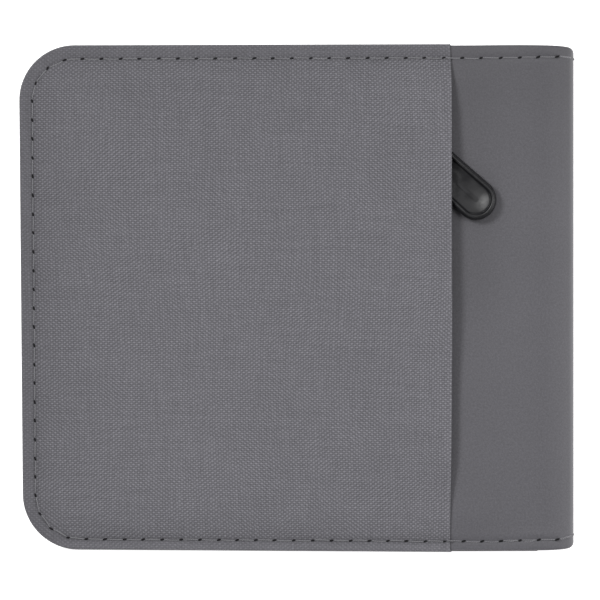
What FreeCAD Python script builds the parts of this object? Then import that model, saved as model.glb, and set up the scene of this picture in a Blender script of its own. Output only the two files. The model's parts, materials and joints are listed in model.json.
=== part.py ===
import FreeCAD, Part
import math
import os
import Sketcher

# Bifold wallet, closed, lying on its front cover with the zip side up.
# +X points to the spine, +Y to the top edge (the mouth of the bill compartment),
# +Z out of the back face. Millimetres. The origin is the middle of the footprint.

os.makedirs("parts", exist_ok=True)
doc = FreeCAD.newDocument("bifold_wallet")
sheet = doc.addObject("Spreadsheet::Sheet", "dims")
V = FreeCAD.Vector


class Dim:
    """A size: its value in millimetres and the sheet expression that drives it."""

    def __init__(self, value, text):
        self.value = float(value)
        self.text = text

    def __add__(self, other):
        other = dim(other)
        return Dim(self.value + other.value, "(" + self.text + " + " + other.text + ")")

    def __sub__(self, other):
        other = dim(other)
        return Dim(self.value - other.value, "(" + self.text + " - " + other.text + ")")

    def __mul__(self, other):
        other = dim(other)
        return Dim(self.value * other.value, "(" + self.text + " * " + other.text + ")")

    def __truediv__(self, other):
        other = dim(other)
        return Dim(self.value / other.value, "(" + self.text + " / " + other.text + ")")

    def __neg__(self):
        return Dim(-self.value, "(0 - " + self.text + ")")


def dim(value):
    return value if isinstance(value, Dim) else Dim(value, "(" + repr(float(value)) + ")")


row = [0]


def cell(alias, value):
    """One driving dimension in the sheet."""
    row[0] += 1
    sheet.set("A%d" % row[0], alias)
    sheet.set("B%d" % row[0], str(value))
    sheet.setAlias("B%d" % row[0], alias)
    return Dim(value, "dims." + alias)


# ---------------------------------------------------------------- driving dimensions
width = cell("wallet_width", 103.6)
height = cell("wallet_height", 95.0)
corner = cell("corner_radius", 10.4)
hem_width = cell("hem_width", 4.5)
spine_gap = cell("spine_setback", 2.7)
flap_free = cell("flap_edge_position", 29.1)
cover_thick = cell("cover_thickness", 0.9)
lining_thick = cell("lining_thickness", 0.3)
bill_gap = cell("bill_gap", 0.6)
inner_thick = cell("inner_panel_thickness", 0.4)
pocket_thick = cell("pocket_thickness", 0.45)
fold_gap = cell("fold_gap", 0.8)
frame_thick = cell("window_frame_thickness", 0.5)
film_thick = cell("window_film_thickness", 0.2)
coin_gap = cell("coin_gap", 1.8)
panel_thick = cell("outer_panel_thickness", 0.8)
tape_thick = cell("zip_tape_thickness", 0.4)
coil_thick = cell("zip_coil_thickness", 0.85)
coil_half = cell("zip_coil_half_width", 1.9)
lane = cell("zip_lane_half_width", 0.55)
zip_x = cell("zip_position", 20.0)
zip_slot = cell("zip_slot_half_width", 4.2)
tape_lap = cell("zip_tape_lap", 4.0)
flap_rise = cell("flap_rise", 2.9)
flap_hem = cell("flap_hem_extra", 0.3)
flap_start = cell("flap_rise_start", -12.0)
lip_line = cell("lip_hinge_position", 4.85)
lip_half = cell("lip_half_length", 35.7)
slider_y = cell("slider_position", 33.0)
slider_half_l = cell("slider_half_length", 4.5)
slider_half_w = cell("slider_half_width", 3.6)
bridge_half = cell("bridge_half_length", 2.8)
bridge_leg = cell("bridge_leg", 1.0)
ring_wire = cell("ring_wire_radius", 0.4)
ring_reach = cell("ring_reach", 4.1)
ring_half = cell("ring_half_width", 1.4)
pull_length = cell("pull_length", 18.27)
pull_radius = cell("pull_end_radius", 3.65)
pull_thick = cell("pull_thickness", 1.6)
pull_rim = cell("pull_rim", 1.1)
pull_angle = cell("pull_rest_angle", -42.0)
stitch_pitch = cell("stitch_pitch", 3.55)
stitch_margin = cell("stitch_margin", 2.25)
doc.recompute()

# ---------------------------------------------------------------- levels of the stack
x_open = -(width / 2)
x_spine = width / 2
x_panel = x_spine - spine_gap
y_top = height / 2
y_low = -(height / 2)
z_front_lining = cover_thick
z_front_hem = z_front_lining + lining_thick
z_front_inner = z_front_hem + bill_gap
z_front_pocket = z_front_inner + inner_thick
z_front_top = z_front_pocket + pocket_thick * 3
z_frame = z_front_top + fold_gap
z_back_pocket_2 = z_frame + frame_thick
z_back_pocket_1 = z_back_pocket_2 + pocket_thick
z_back_inner = z_back_pocket_1 + pocket_thick
z_back_hem = z_back_inner + inner_thick
z_back_lining = z_back_hem + bill_gap
z_coin_inner = z_back_lining + lining_thick
z_coin_hem = z_coin_inner + lining_thick
z_outer = z_coin_hem + coin_gap
z_face = z_outer + panel_thick
z_flap = z_face + panel_thick

labels = []


def origin_plane(body, role):
    for feature in body.Origin.OriginFeatures:
        if feature.Role == role:
            return feature
    raise RuntimeError("no plane " + role)


def new_body(label):
    body = doc.addObject("PartDesign::Body", label)
    body.Label = label
    labels.append(label)
    return body


def new_sketch(body, name, role="XY_Plane", lift=None):
    sketch = body.newObject("Sketcher::SketchObject", name)
    sketch.AttachmentSupport = [(origin_plane(body, role), "")]
    sketch.MapMode = "FlatFace"
    if lift is not None:
        sketch.AttachmentOffset = FreeCAD.Placement(V(0, 0, lift.value), FreeCAD.Rotation())
        sketch.setExpression("AttachmentOffset.Base.z", lift.text)
    return sketch


def put(sketch, geometry, point, x, y):
    """Fixes one sketch vertex at x, y from the sketch origin."""
    index = sketch.addConstraint(Sketcher.Constraint("DistanceX", -1, 1, geometry, point, x.value))
    sketch.setExpression("Constraints[%d]" % index, x.text)
    index = sketch.addConstraint(Sketcher.Constraint("DistanceY", -1, 1, geometry, point, y.value))
    sketch.setExpression("Constraints[%d]" % index, y.text)


def polygon(sketch, points):
    """A closed run of lines with every vertex placed."""
    first = sketch.GeometryCount
    count = len(points)
    for i in range(count):
        a = points[i]
        b = points[(i + 1) % count]
        sketch.addGeometry(
            Part.LineSegment(V(a[0].value, a[1].value, 0), V(b[0].value, b[1].value, 0)), False
        )
    for i in range(count):
        sketch.addConstraint(
            Sketcher.Constraint("Coincident", first + i, 2, first + (i + 1) % count, 1)
        )
    for i in range(count):
        put(sketch, first + i, 1, points[i][0], points[i][1])


def rectangle(sketch, x0, x1, y0, y1):
    first = sketch.GeometryCount
    p = [(x0, y0), (x1, y0), (x1, y1), (x0, y1)]
    for i in range(4):
        a, b = p[i], p[(i + 1) % 4]
        sketch.addGeometry(
            Part.LineSegment(V(a[0].value, a[1].value, 0), V(b[0].value, b[1].value, 0)), False
        )
    for i in range(4):
        sketch.addConstraint(Sketcher.Constraint("Coincident", first + i, 2, first + (i + 1) % 4, 1))
    sketch.addConstraint(Sketcher.Constraint("Horizontal", first))
    sketch.addConstraint(Sketcher.Constraint("Vertical", first + 1))
    sketch.addConstraint(Sketcher.Constraint("Horizontal", first + 2))
    sketch.addConstraint(Sketcher.Constraint("Vertical", first + 3))
    put(sketch, first, 1, x0, y0)
    put(sketch, first + 1, 2, x1, y1)


def pad(body, sketch, length, name):
    feature = body.newObject("PartDesign::Pad", name)
    feature.Profile = sketch
    feature.Length = length.value
    feature.setExpression("Length", length.text)
    body.Tip = feature
    doc.recompute()
    return feature


def pocket(body, sketch, length, name, reverse):
    """Cuts a pocket and makes sure that it took material away."""
    before = body.Shape.Volume
    feature = body.newObject("PartDesign::Pocket", name)
    feature.Profile = sketch
    feature.Length = length.value
    feature.setExpression("Length", length.text)
    feature.Reversed = reverse
    body.Tip = feature
    doc.recompute()
    if body.Shape.Volume >= before - 1e-6:
        raise RuntimeError(name + " cuts nothing")
    return feature


def fillet(body, base, radius, chosen, name):
    """Rounds the edges of the last feature that the test picks."""
    names = []
    for i, edge in enumerate(base.Shape.Edges):
        if chosen(edge):
            names.append("Edge%d" % (i + 1))
    if not names:
        raise RuntimeError(name + " finds no edge")
    feature = body.newObject("PartDesign::Fillet", name)
    feature.Base = (base, names)
    feature.Radius = radius.value
    feature.setExpression("Radius", radius.text)
    body.Tip = feature
    doc.recompute()
    return feature


def upright(edge):
    """True for an edge that runs along Z."""
    box = edge.BoundBox
    return box.ZLength > 1e-6 and box.XLength < 1e-6 and box.YLength < 1e-6


def plate(label, x0, x1, y0, y1, z0, thick, radius=None, where=None):
    """A flat panel between two levels, with rounded upright corners where asked."""
    x0, x1, y0, y1, z0 = dim(x0), dim(x1), dim(y0), dim(y1), dim(z0)
    body = new_body(label)
    sketch = new_sketch(body, label + "_outline")
    rectangle(sketch, x0, x1, y0, y1)
    base = pad(body, sketch, thick, label + "_pad")
    if radius is not None:
        fillet(
            body,
            base,
            radius,
            lambda e: upright(e) and where(e.CenterOfMass.x, e.CenterOfMass.y),
            label + "_corners",
        )
    body.Placement = FreeCAD.Placement(V(0, 0, z0.value), FreeCAD.Rotation())
    body.setExpression("Placement.Base.z", z0.text)
    return body


def open_side(x, y):
    return x < 0


def any_corner(x, y):
    return True


# ---------------------------------------------------------------- front half (underneath)
plate("front_cover_panel", x_open, x_panel, y_low, y_top, dim(0), cover_thick, corner, open_side)
plate("front_bill_lining", x_open, x_panel, y_low, y_top, z_front_lining, lining_thick, corner, open_side)
hem_corner = cell("hem_end_radius", 4.4)
doc.recompute()
hem_end = x_open + 5.4
side_half = height / 2 - corner


def lower_left(x, y):
    return x < 0 and y < -46


def upper_left(x, y):
    return x < 0 and y > 46


plate("front_hem_side", x_open, x_open + hem_width, -side_half, side_half, z_front_hem, bill_gap)
plate("front_hem_bottom", hem_end, x_panel, y_low, y_low + hem_width, z_front_hem, bill_gap, hem_corner, lower_left)
inner_end = x_panel - 3.8
inner_top = y_top - 3.0
inner_round = cell("inner_corner_radius", 8.0)
doc.recompute()


def inner_panel(label, z0):
    """The panel that carries the pockets; its top edge lies below the cover's, so that notes show."""
    body = plate(label, x_open, inner_end, y_low, inner_top, z0, inner_thick, corner,
                 lambda x, y: x < 0 and y < 0)
    fillet(body, body.Tip, inner_round,
           lambda e: upright(e) and e.CenterOfMass.x < -50 and e.CenterOfMass.y > 30, label + "_top")
    return body


inner_panel("front_inner_panel", z_front_inner)
pocket_left = x_open + 4.5
pocket_right = inner_end - 2.0
pocket_low = y_low + 3.9
mouth_1 = cell("pocket_mouth_high", 27.0)
mouth_step = cell("pocket_mouth_step", 13.0)
pocket_round = cell("pocket_corner_radius", 3.0)
doc.recompute()


def foot(x, y):
    return y < 0


plate("front_card_pocket_1", pocket_left, pocket_right, pocket_low, mouth_1, z_front_pocket, pocket_thick, pocket_round, foot)
plate("front_card_pocket_2", pocket_left, pocket_right, pocket_low, mouth_1 - mouth_step, z_front_pocket + pocket_thick, pocket_thick, pocket_round, foot)
plate("front_card_pocket_3", pocket_left, pocket_right, pocket_low, mouth_1 - mouth_step * 2, z_front_pocket + pocket_thick * 2, pocket_thick, pocket_round, foot)

# ---------------------------------------------------------------- back half (on top)
body = plate("back_smooth_panel", zip_x + zip_slot, x_panel, y_low, y_top, z_outer, panel_thick)
sketch = new_sketch(body, "back_smooth_panel_lap")
rectangle(sketch, zip_x + zip_slot, zip_x + zip_slot + tape_lap, y_low, y_top)
pocket(body, sketch, tape_thick, "back_smooth_panel_rebate", True)

body = plate("coin_pocket_outer_wall", x_open, zip_x - zip_slot, y_low, y_top, z_outer, panel_thick, corner, open_side)
sketch = new_sketch(body, "coin_pocket_outer_wall_lap")
rectangle(sketch, zip_x - zip_slot - tape_lap, zip_x - zip_slot, y_low, y_top)
pocket(body, sketch, tape_thick, "coin_pocket_outer_wall_rebate", True)

plate("coin_pocket_inner_wall", x_open, x_panel, y_low, y_top, z_coin_inner, lining_thick, corner, open_side)
plate("coin_hem_side", x_open, x_open + hem_width, -side_half, side_half, z_coin_hem, coin_gap)
plate("coin_hem_bottom", hem_end, x_panel - hem_width, y_low, y_low + hem_width, z_coin_hem, coin_gap, hem_corner, lower_left)
plate("coin_hem_top", hem_end, x_panel - hem_width, y_top - hem_width, y_top, z_coin_hem, coin_gap, hem_corner, upper_left)
plate("coin_hem_spine", x_panel - hem_width, x_panel, y_low, y_top, z_coin_hem, coin_gap)

plate("back_bill_lining", x_open, x_panel, y_low, y_top, z_back_lining, lining_thick, corner, open_side)
plate("back_hem_side", x_open, x_open + hem_width, -side_half, side_half, z_back_hem, bill_gap)
plate("back_hem_bottom", hem_end, x_panel, y_low, y_low + hem_width, z_back_hem, bill_gap, hem_corner, lower_left)
inner_panel("back_inner_panel", z_back_inner)
plate("back_card_pocket_1", pocket_left, pocket_right, pocket_low, mouth_1, z_back_pocket_1, pocket_thick, pocket_round, foot)
plate("back_card_pocket_2", pocket_left, pocket_right, pocket_low, mouth_1 - mouth_step, z_back_pocket_2, pocket_thick, pocket_round, foot)

# the see-through window: a frame with the film let into its hidden side
window_left = pocket_left + 7.5
window_right = pocket_right - 7.5
window_low = pocket_low + 6.0
window_high = pocket_low + 43.0
frame_high = pocket_low + 45.0
body = plate("id_window_frame", pocket_left, pocket_right, pocket_low, frame_high, z_frame, frame_thick, pocket_round, foot)
sketch = new_sketch(body, "id_window_hole")
rectangle(sketch, window_left, window_right, window_low, window_high - 4.0)
pocket(body, sketch, frame_thick, "id_window_cut", True)
sketch = new_sketch(body, "id_window_seat", lift=frame_thick - film_thick)
rectangle(sketch, window_left - 2.0, window_right + 2.0, window_low - 2.0, window_high - 2.0)
pocket(body, sketch, film_thick, "id_window_rebate", True)
plate("id_window_film", window_left - 2.0, window_right + 2.0, window_low - 2.0, window_high - 2.0, z_back_pocket_2 - film_thick, film_thick)

# ---------------------------------------------------------------- zip
plate("zip_tape_left", zip_x - zip_slot - tape_lap, zip_x - lane, y_low, y_top, z_outer, tape_thick)
plate("zip_tape_right", zip_x + lane, zip_x + zip_slot + tape_lap, y_low, y_top, z_outer, tape_thick)
coil_top = cell("zip_coil_top", 38.1)
coil_low = cell("zip_coil_low", -15.8)
coil_round = cell("zip_coil_rounding", 0.35)
stop_len = cell("zip_stop_length", 1.5)
doc.recompute()


def lengthwise_low(edge):
    """The long lower edges of a coil bar."""
    box = edge.BoundBox
    return box.YLength > 30 and abs(box.ZMax) < 1e-6


for label, x0, x1 in (
    ("zip_coil_left", zip_x - coil_half, zip_x - lane),
    ("zip_coil_right", zip_x + lane, zip_x + coil_half),
):
    body = plate(label, x0, x1, coil_low, coil_top, z_outer - coil_thick, coil_thick)
    fillet(body, body.Tip, coil_round, lengthwise_low, label + "_round")
plate("zip_top_stop", zip_x - coil_half, zip_x + coil_half, coil_top, coil_top + stop_len, z_outer - coil_thick, coil_thick, coil_round, any_corner)
plate("zip_bottom_stop", zip_x - coil_half, zip_x + coil_half, coil_low - stop_len, coil_low, z_outer - coil_thick, coil_thick, coil_round, any_corner)


# ---------------------------------------------------------------- primitives with bound sizes
def bound(obj, **sizes):
    for name, size in sizes.items():
        size = dim(size)
        setattr(obj, name, size.value)
        obj.setExpression(name, size.text)
    return obj


def place(obj, x, y, z, rotation=None):
    x, y, z = dim(x), dim(y), dim(z)
    obj.Placement = FreeCAD.Placement(V(x.value, y.value, z.value), rotation or FreeCAD.Rotation())
    obj.setExpression("Placement.Base.x", x.text)
    obj.setExpression("Placement.Base.y", y.text)
    obj.setExpression("Placement.Base.z", z.text)
    return obj


def block(name, x0, x1, y0, y1, z0, z1):
    x0, x1, y0, y1, z0, z1 = dim(x0), dim(x1), dim(y0), dim(y1), dim(z0), dim(z1)
    obj = doc.addObject("Part::Box", name)
    bound(obj, Length=x1 - x0, Width=y1 - y0, Height=z1 - z0)
    return place(obj, x0, y0, z0)


def named(obj, label):
    obj.Label = label
    labels.append(label)
    return obj


# ---------------------------------------------------------------- spine
# A stiffened strip with a roll along each long edge; the rolls are centred on the two fold lines.
roll = cell("spine_roll_radius", 1.2)
spine_thick = cell("spine_thickness", 0.9)
doc.recompute()
spine_plate = block("spine_plate", x_spine - spine_thick, x_spine, y_low, y_top, roll, z_face - roll)
rolls = []
for name, z in (("spine_roll_front", roll), ("spine_roll_back", z_face - roll)):
    obj = doc.addObject("Part::Cylinder", name)
    bound(obj, Radius=roll, Height=height)
    place(obj, x_spine - roll, y_top, z, FreeCAD.Rotation(V(1, 0, 0), 90))
    rolls.append(obj)
spine = doc.addObject("Part::MultiFuse", "spine_panel")
spine.Shapes = [spine_plate] + rolls
spine.Refine = True
named(spine, "spine_panel")
lining = block("spine_lining", x_spine - spine_thick - inner_thick, x_spine - spine_thick, y_low + 1.0, y_top - 3.0, roll * 2 + 0.4, z_face - roll * 2 - 0.4)
named(lining, "spine_lining")

# ---------------------------------------------------------------- flap
# One woven panel, sewn down along the open side and at both ends. Towards its free edge
# it stands off the face, to clear the slider. The lip, which lifts, is its middle stretch.
x_stations = [
    (x_open, 0.0), (flap_start, 0.0), (flap_start + 9, 0.156), (flap_start + 18, 0.5),
    (flap_start + 27, 0.844), (flap_start + 36, 1.0), (flap_free, 1.0),
]
y_stations = [
    (y_low, 0.0), (y_low + 3, 0.0), (y_low + 6.5, 0.45), (y_low + 10, 0.9), (y_low + 11.5, 1.0),
    (y_top - 11.5, 1.0), (y_top - 10, 0.9), (y_top - 6.5, 0.45), (y_top - 3, 0.0), (y_top, 0.0),
]
sections = []
for number, (y, share) in enumerate(y_stations):
    sketch = doc.addObject("Sketcher::SketchObject", "flap_section_%d" % number)
    points = []
    for i, (x, part) in enumerate(x_stations):
        extra = flap_hem * share if i >= 5 else dim(0)
        points.append((x, z_face + flap_rise * (part * share) - extra))
    for x, part in reversed(x_stations):
        points.append((x, z_flap + flap_rise * (part * share)))
    polygon(sketch, points)
    place(sketch, 0, y, 0, FreeCAD.Rotation(V(1, 0, 0), 90))
    sections.append(sketch)
loft = doc.addObject("Part::Loft", "flap_sheet")
loft.Sections = sections
loft.Solid = True
loft.Ruled = True
doc.recompute()
outline = doc.addObject("PartDesign::Body", "flap_outline")
sketch = new_sketch(outline, "flap_outline_sketch")
rectangle(sketch, x_open, flap_free + 5, y_low, y_top)
base = pad(outline, sketch, cell("flap_outline_depth", 30.0), "flap_outline_pad")
doc.recompute()
fillet(outline, base, corner, lambda e: upright(e) and e.CenterOfMass.x < 0, "flap_outline_corners")
flap = doc.addObject("Part::Common", "flap_whole")
flap.Base = loft
flap.Tool = outline
doc.recompute()
lip_gap = dim(0.15)
hole = block("flap_lip_hole", lip_line - lip_gap, flap_free + 10, -(lip_half + 0.3), lip_half + 0.3, dim(0), dim(30))
fixed = doc.addObject("Part::Cut", "back_flap_panel")
fixed.Base = flap
fixed.Tool = hole
named(fixed, "back_flap_panel")
keep = block("flap_lip_keep", lip_line + lip_gap, flap_free + 10, -lip_half, lip_half, dim(0), dim(30))
lip = doc.addObject("Part::Common", "flap_lip")
lip.Base = flap
lip.Tool = keep
named(lip, "flap_lip")

# ---------------------------------------------------------------- slider
z_plate = z_outer + tape_thick + 0.15
z_plate_top = z_plate + 0.45
z_lower = z_coin_hem + 0.2
y0 = slider_y - slider_half_l
y1 = slider_y + slider_half_l
body = doc.addObject("PartDesign::Body", "slider_upper_plate")
sketch = new_sketch(body, "slider_upper_outline")
rectangle(sketch, -slider_half_w, slider_half_w, -slider_half_l, slider_half_l)
plate_thick = cell("slider_plate_thickness", 0.45)
doc.recompute()
base = pad(body, sketch, plate_thick, "slider_upper_pad")
corner_small = cell("slider_corner_radius", 1.4)
doc.recompute()
fillet(body, base, corner_small, upright, "slider_upper_corners")
place(body, zip_x, slider_y, z_plate)
lower = block("slider_lower_plate", zip_x - 3.0, zip_x + 3.0, y0 + 0.3, y1 - 0.3, z_lower, z_lower + 0.5)
left = block("slider_flange_left", zip_x - 3.0, zip_x - 2.2, y0 + 0.3, y1 - 0.3, z_lower + 0.5, z_outer - 0.2)
right = block("slider_flange_right", zip_x + 2.2, zip_x + 3.0, y0 + 0.3, y1 - 0.3, z_lower + 0.5, z_outer - 0.2)
post = block("slider_post", zip_x - 0.3, zip_x + 0.3, slider_y + 0.5, slider_y + 3.8, z_lower + 0.5, z_plate)
fuse = doc.addObject("Part::MultiFuse", "slider_body")
fuse.Shapes = [body, lower, left, right, post]
fuse.Refine = True
named(fuse, "slider_body")

# the arch that the ring hangs on; its lower leg is the axis that the pull turns about
pivot_y = slider_y - bridge_half + bridge_leg / 2
leg_high = cell("bridge_leg_height", 1.6)
bar_thick = cell("bridge_bar_thickness", 0.5)
bridge_w = cell("bridge_width", 1.0)
doc.recompute()
leg_a = doc.addObject("Part::Cylinder", "bridge_leg_low")
bound(leg_a, Radius=bridge_leg / 2, Height=leg_high)
place(leg_a, zip_x, pivot_y, z_plate_top)
leg_b = block("bridge_leg_high", zip_x - bridge_w / 2, zip_x + bridge_w / 2, slider_y + bridge_half - bridge_leg, slider_y + bridge_half, z_plate_top, z_plate_top + leg_high)
bar = block("bridge_bar", zip_x - bridge_w / 2, zip_x + bridge_w / 2, slider_y - bridge_half, slider_y + bridge_half, z_plate_top + leg_high, z_plate_top + leg_high + bar_thick)
arch = doc.addObject("Part::MultiFuse", "slider_bridge")
arch.Shapes = [leg_a, leg_b, bar]
arch.Refine = True
named(arch, "slider_bridge")

# ---------------------------------------------------------------- ring and pull
# Both are drawn along +X from the pivot and turned to the resting angle.
z_ring = z_plate_top + 1.05
path = doc.addObject("Sketcher::SketchObject", "ring_path")
near = ring_half
far = ring_reach - ring_half
w = ring_half.value
f = far.value
path.addGeometry(Part.LineSegment(V(0, -w, 0), V(ring_reach.value - 0.8, -w, 0)), False)
path.addGeometry(
    Part.ArcOfCircle(Part.Circle(V(ring_reach.value - 0.8, -w + 0.8, 0), V(0, 0, 1), 0.8), -math.pi / 2, 0), False
)
path.addGeometry(Part.LineSegment(V(ring_reach.value, -w + 0.8, 0), V(ring_reach.value, w - 0.8, 0)), False)
path.addGeometry(
    Part.ArcOfCircle(Part.Circle(V(ring_reach.value - 0.8, w - 0.8, 0), V(0, 0, 1), 0.8), 0, math.pi / 2), False
)
path.addGeometry(Part.LineSegment(V(ring_reach.value - 0.8, w, 0), V(0, w, 0)), False)
path.addGeometry(Part.ArcOfCircle(Part.Circle(V(0, 0, 0), V(0, 0, 1), w), math.pi / 2, 3 * math.pi / 2), False)
for a, pa, b, pb in ((0, 2, 1, 1), (1, 2, 2, 1), (2, 2, 3, 1), (3, 2, 4, 1), (4, 2, 5, 1), (5, 2, 0, 1)):
    path.addConstraint(Sketcher.Constraint("Tangent", a, pa, b, pb))
path.addConstraint(Sketcher.Constraint("Horizontal", 0))
path.addConstraint(Sketcher.Constraint("Coincident", 5, 3, -1, 1))
index = path.addConstraint(Sketcher.Constraint("Radius", 5, w))
path.setExpression("Constraints[%d]" % index, ring_half.text)
path.addConstraint(Sketcher.Constraint("Radius", 1, 0.8))
path.addConstraint(Sketcher.Constraint("Equal", 1, 3))
index = path.addConstraint(Sketcher.Constraint("DistanceX", -1, 1, 2, 1, ring_reach.value))
path.setExpression("Constraints[%d]" % index, ring_reach.text)
wire = doc.addObject("Sketcher::SketchObject", "ring_wire")
wire.addGeometry(Part.Circle(V(0, 0, 0), V(0, 0, 1), ring_wire.value), False)
wire.addConstraint(Sketcher.Constraint("Coincident", 0, 3, -1, 1))
index = wire.addConstraint(Sketcher.Constraint("Radius", 0, ring_wire.value))
wire.setExpression("Constraints[%d]" % index, ring_wire.text)
wire.Placement = FreeCAD.Placement(V(0, -w, 0), FreeCAD.Rotation(V(0, 1, 0), 90))
wire.setExpression("Placement.Base.y", (-ring_half).text)
doc.recompute()
ring = doc.addObject("Part::Sweep", "pull_ring")
ring.Sections = [wire]
ring.Spine = (path, ["Edge%d" % (i + 1) for i in range(len(path.Shape.Edges))])
ring.Solid = True
ring.Frenet = False
ring.Transition = "Transformed" if "Transformed" in ring.getEnumerationsOfProperty("Transition") else 0
doc.recompute()
turn = FreeCAD.Rotation(V(0, 0, 1), pull_angle.value)
place(ring, zip_x, pivot_y, z_ring, turn)
ring.setExpression("Placement.Rotation.Angle", None)
named(ring, "pull_ring")

pull = new_body("puller")
sketch = new_sketch(pull, "pull_outline")
r = pull_radius.value
L = pull_length.value
pts = [(5.0, -2.6), (8.5, -r), (L, -r), (L, r), (8.5, r), (5.0, 2.6)]
sketch.addGeometry(Part.LineSegment(V(5.0, -2.6, 0), V(8.5, -r, 0)), False)
sketch.addGeometry(Part.LineSegment(V(8.5, -r, 0), V(L, -r, 0)), False)
sketch.addGeometry(Part.ArcOfCircle(Part.Circle(V(L, 0, 0), V(0, 0, 1), r), -math.pi / 2, math.pi / 2), False)
sketch.addGeometry(Part.LineSegment(V(L, r, 0), V(8.5, r, 0)), False)
sketch.addGeometry(Part.LineSegment(V(8.5, r, 0), V(5.0, 2.6, 0)), False)
sketch.addGeometry(Part.LineSegment(V(5.0, 2.6, 0), V(5.0, -2.6, 0)), False)
for a in range(6):
    kind = "Tangent" if a in (1, 2) else "Coincident"
    sketch.addConstraint(Sketcher.Constraint(kind, a, 2, (a + 1) % 6, 1))
put(sketch, 0, 1, dim(5.0), dim(-2.6))
put(sketch, 5, 1, dim(5.0), dim(2.6))
sketch.addConstraint(Sketcher.Constraint("Horizontal", 1))
sketch.addConstraint(Sketcher.Constraint("Horizontal", 3))
index = sketch.addConstraint(Sketcher.Constraint("DistanceX", -1, 1, 2, 3, L))
sketch.setExpression("Constraints[%d]" % index, pull_length.text)
index = sketch.addConstraint(Sketcher.Constraint("DistanceY", -1, 1, 2, 3, 0))
index = sketch.addConstraint(Sketcher.Constraint("Radius", 2, r))
sketch.setExpression("Constraints[%d]" % index, pull_radius.text)
index = sketch.addConstraint(Sketcher.Constraint("DistanceX", -1, 1, 1, 1, 8.5))
index = sketch.addConstraint(Sketcher.Constraint("DistanceX", -1, 1, 3, 2, 8.5))
pad(pull, sketch, pull_thick, "pull_pad")
sketch = new_sketch(pull, "pull_tongue_outline")
rectangle(sketch, dim(3.3), dim(5.2), dim(-0.9), dim(0.9))
pad(pull, sketch, pull_thick, "pull_tongue")
# the eye in the tongue, with running clearance on the ring's bar
sketch = new_sketch(pull, "pull_eye_outline", "XZ_Plane", lift=dim(-3.0))
sketch.addGeometry(Part.Circle(V(ring_reach.value, pull_thick.value / 2, 0), V(0, 0, 1), 0.5), False)
sketch.addConstraint(Sketcher.Constraint("Radius", 0, 0.5))
put(sketch, 0, 3, ring_reach, pull_thick / 2)
before = pull.Shape.Volume
eye = pull.newObject("PartDesign::Pocket", "pull_eye")
eye.Profile = sketch
eye.Length = 6.0
eye.Midplane = False
eye.Reversed = True
pull.Tip = eye
doc.recompute()
if pull.Shape.Volume > before - 0.5:
    eye.Reversed = False
    doc.recompute()
if pull.Shape.Volume > before - 0.5:
    raise RuntimeError("the eye cuts nothing")
# the round end of the tongue
tongue_edges = []
for i, edge in enumerate(eye.Shape.Edges):
    box = edge.BoundBox
    if box.XLength < 1e-6 and box.ZLength < 1e-6 and abs(box.XMin - 3.3) < 1e-6 and box.YLength > 1:
        tongue_edges.append("Edge%d" % (i + 1))
rounding = pull.newObject("PartDesign::Fillet", "pull_tongue_round")
rounding.Base = (eye, tongue_edges)
rounding.Radius = 0.75
pull.Tip = rounding
doc.recompute()
# the finger recess inside the raised rim
sketch = new_sketch(pull, "pull_recess_outline", lift=pull_thick - 0.35)
q = pull_radius - pull_rim
qv = q.value
sketch.addGeometry(Part.LineSegment(V(9.2, -qv, 0), V(L, -qv, 0)), False)
sketch.addGeometry(Part.ArcOfCircle(Part.Circle(V(L, 0, 0), V(0, 0, 1), qv), -math.pi / 2, math.pi / 2), False)
sketch.addGeometry(Part.LineSegment(V(L, qv, 0), V(9.2, qv, 0)), False)
sketch.addGeometry(Part.LineSegment(V(9.2, qv, 0), V(9.2, -qv, 0)), False)
for a in range(4):
    kind = "Tangent" if a in (0, 1) else "Coincident"
    sketch.addConstraint(Sketcher.Constraint(kind, a, 2, (a + 1) % 4, 1))
sketch.addConstraint(Sketcher.Constraint("Horizontal", 0))
sketch.addConstraint(Sketcher.Constraint("Horizontal", 2))
sketch.addConstraint(Sketcher.Constraint("Vertical", 3))
index = sketch.addConstraint(Sketcher.Constraint("DistanceX", -1, 1, 1, 3, L))
sketch.setExpression("Constraints[%d]" % index, pull_length.text)
sketch.addConstraint(Sketcher.Constraint("DistanceY", -1, 1, 1, 3, 0))
index = sketch.addConstraint(Sketcher.Constraint("Radius", 1, qv))
sketch.setExpression("Constraints[%d]" % index, q.text)
sketch.addConstraint(Sketcher.Constraint("DistanceX", -1, 1, 0, 1, 9.2))
pocket(pull, sketch, dim(0.35), "pull_recess", True)
# softened rim
edges = []
tip = pull.Tip
for i, edge in enumerate(tip.Shape.Edges):
    c = edge.CenterOfMass
    box = edge.BoundBox
    outer = box.XMin > 4.9 and (box.YMax > r - 0.01 or box.YMin < -r + 0.01)
    if outer and box.ZLength < 1e-6:
        edges.append("Edge%d" % (i + 1))
soft = pull.newObject("PartDesign::Fillet", "pull_soft_rim")
soft.Base = (tip, edges)
soft.Radius = 0.4
pull.Tip = soft
doc.recompute()
pull.Placement = FreeCAD.Placement(V(zip_x.value, pivot_y.value, (z_ring - pull_thick / 2).value), turn)
pull.setExpression("Placement.Base.x", zip_x.text)
pull.setExpression("Placement.Base.y", pivot_y.text)
pull.setExpression("Placement.Base.z", (z_ring - pull_thick / 2).text)


# ---------------------------------------------------------------- seams
# Each seam is one node holding its visible stitches, which lie on the panel that they hold.
def stitches(label, runs, length=2.9, broad=0.45, tall=0.2):
    solids = []
    for x, y, z, angle, long in runs:
        solid = Part.makeBox(long, broad, tall, V(-long / 2, -broad / 2, 0))
        solid.Placement = FreeCAD.Placement(V(x, y, z), FreeCAD.Rotation(V(0, 0, 1), angle))
        solids.append(solid)
    obj = doc.addObject("Part::Feature", label)
    obj.Shape = Part.makeCompound(solids)
    obj.Placement = FreeCAD.Placement()
    named(obj, label)
    return obj


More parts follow.
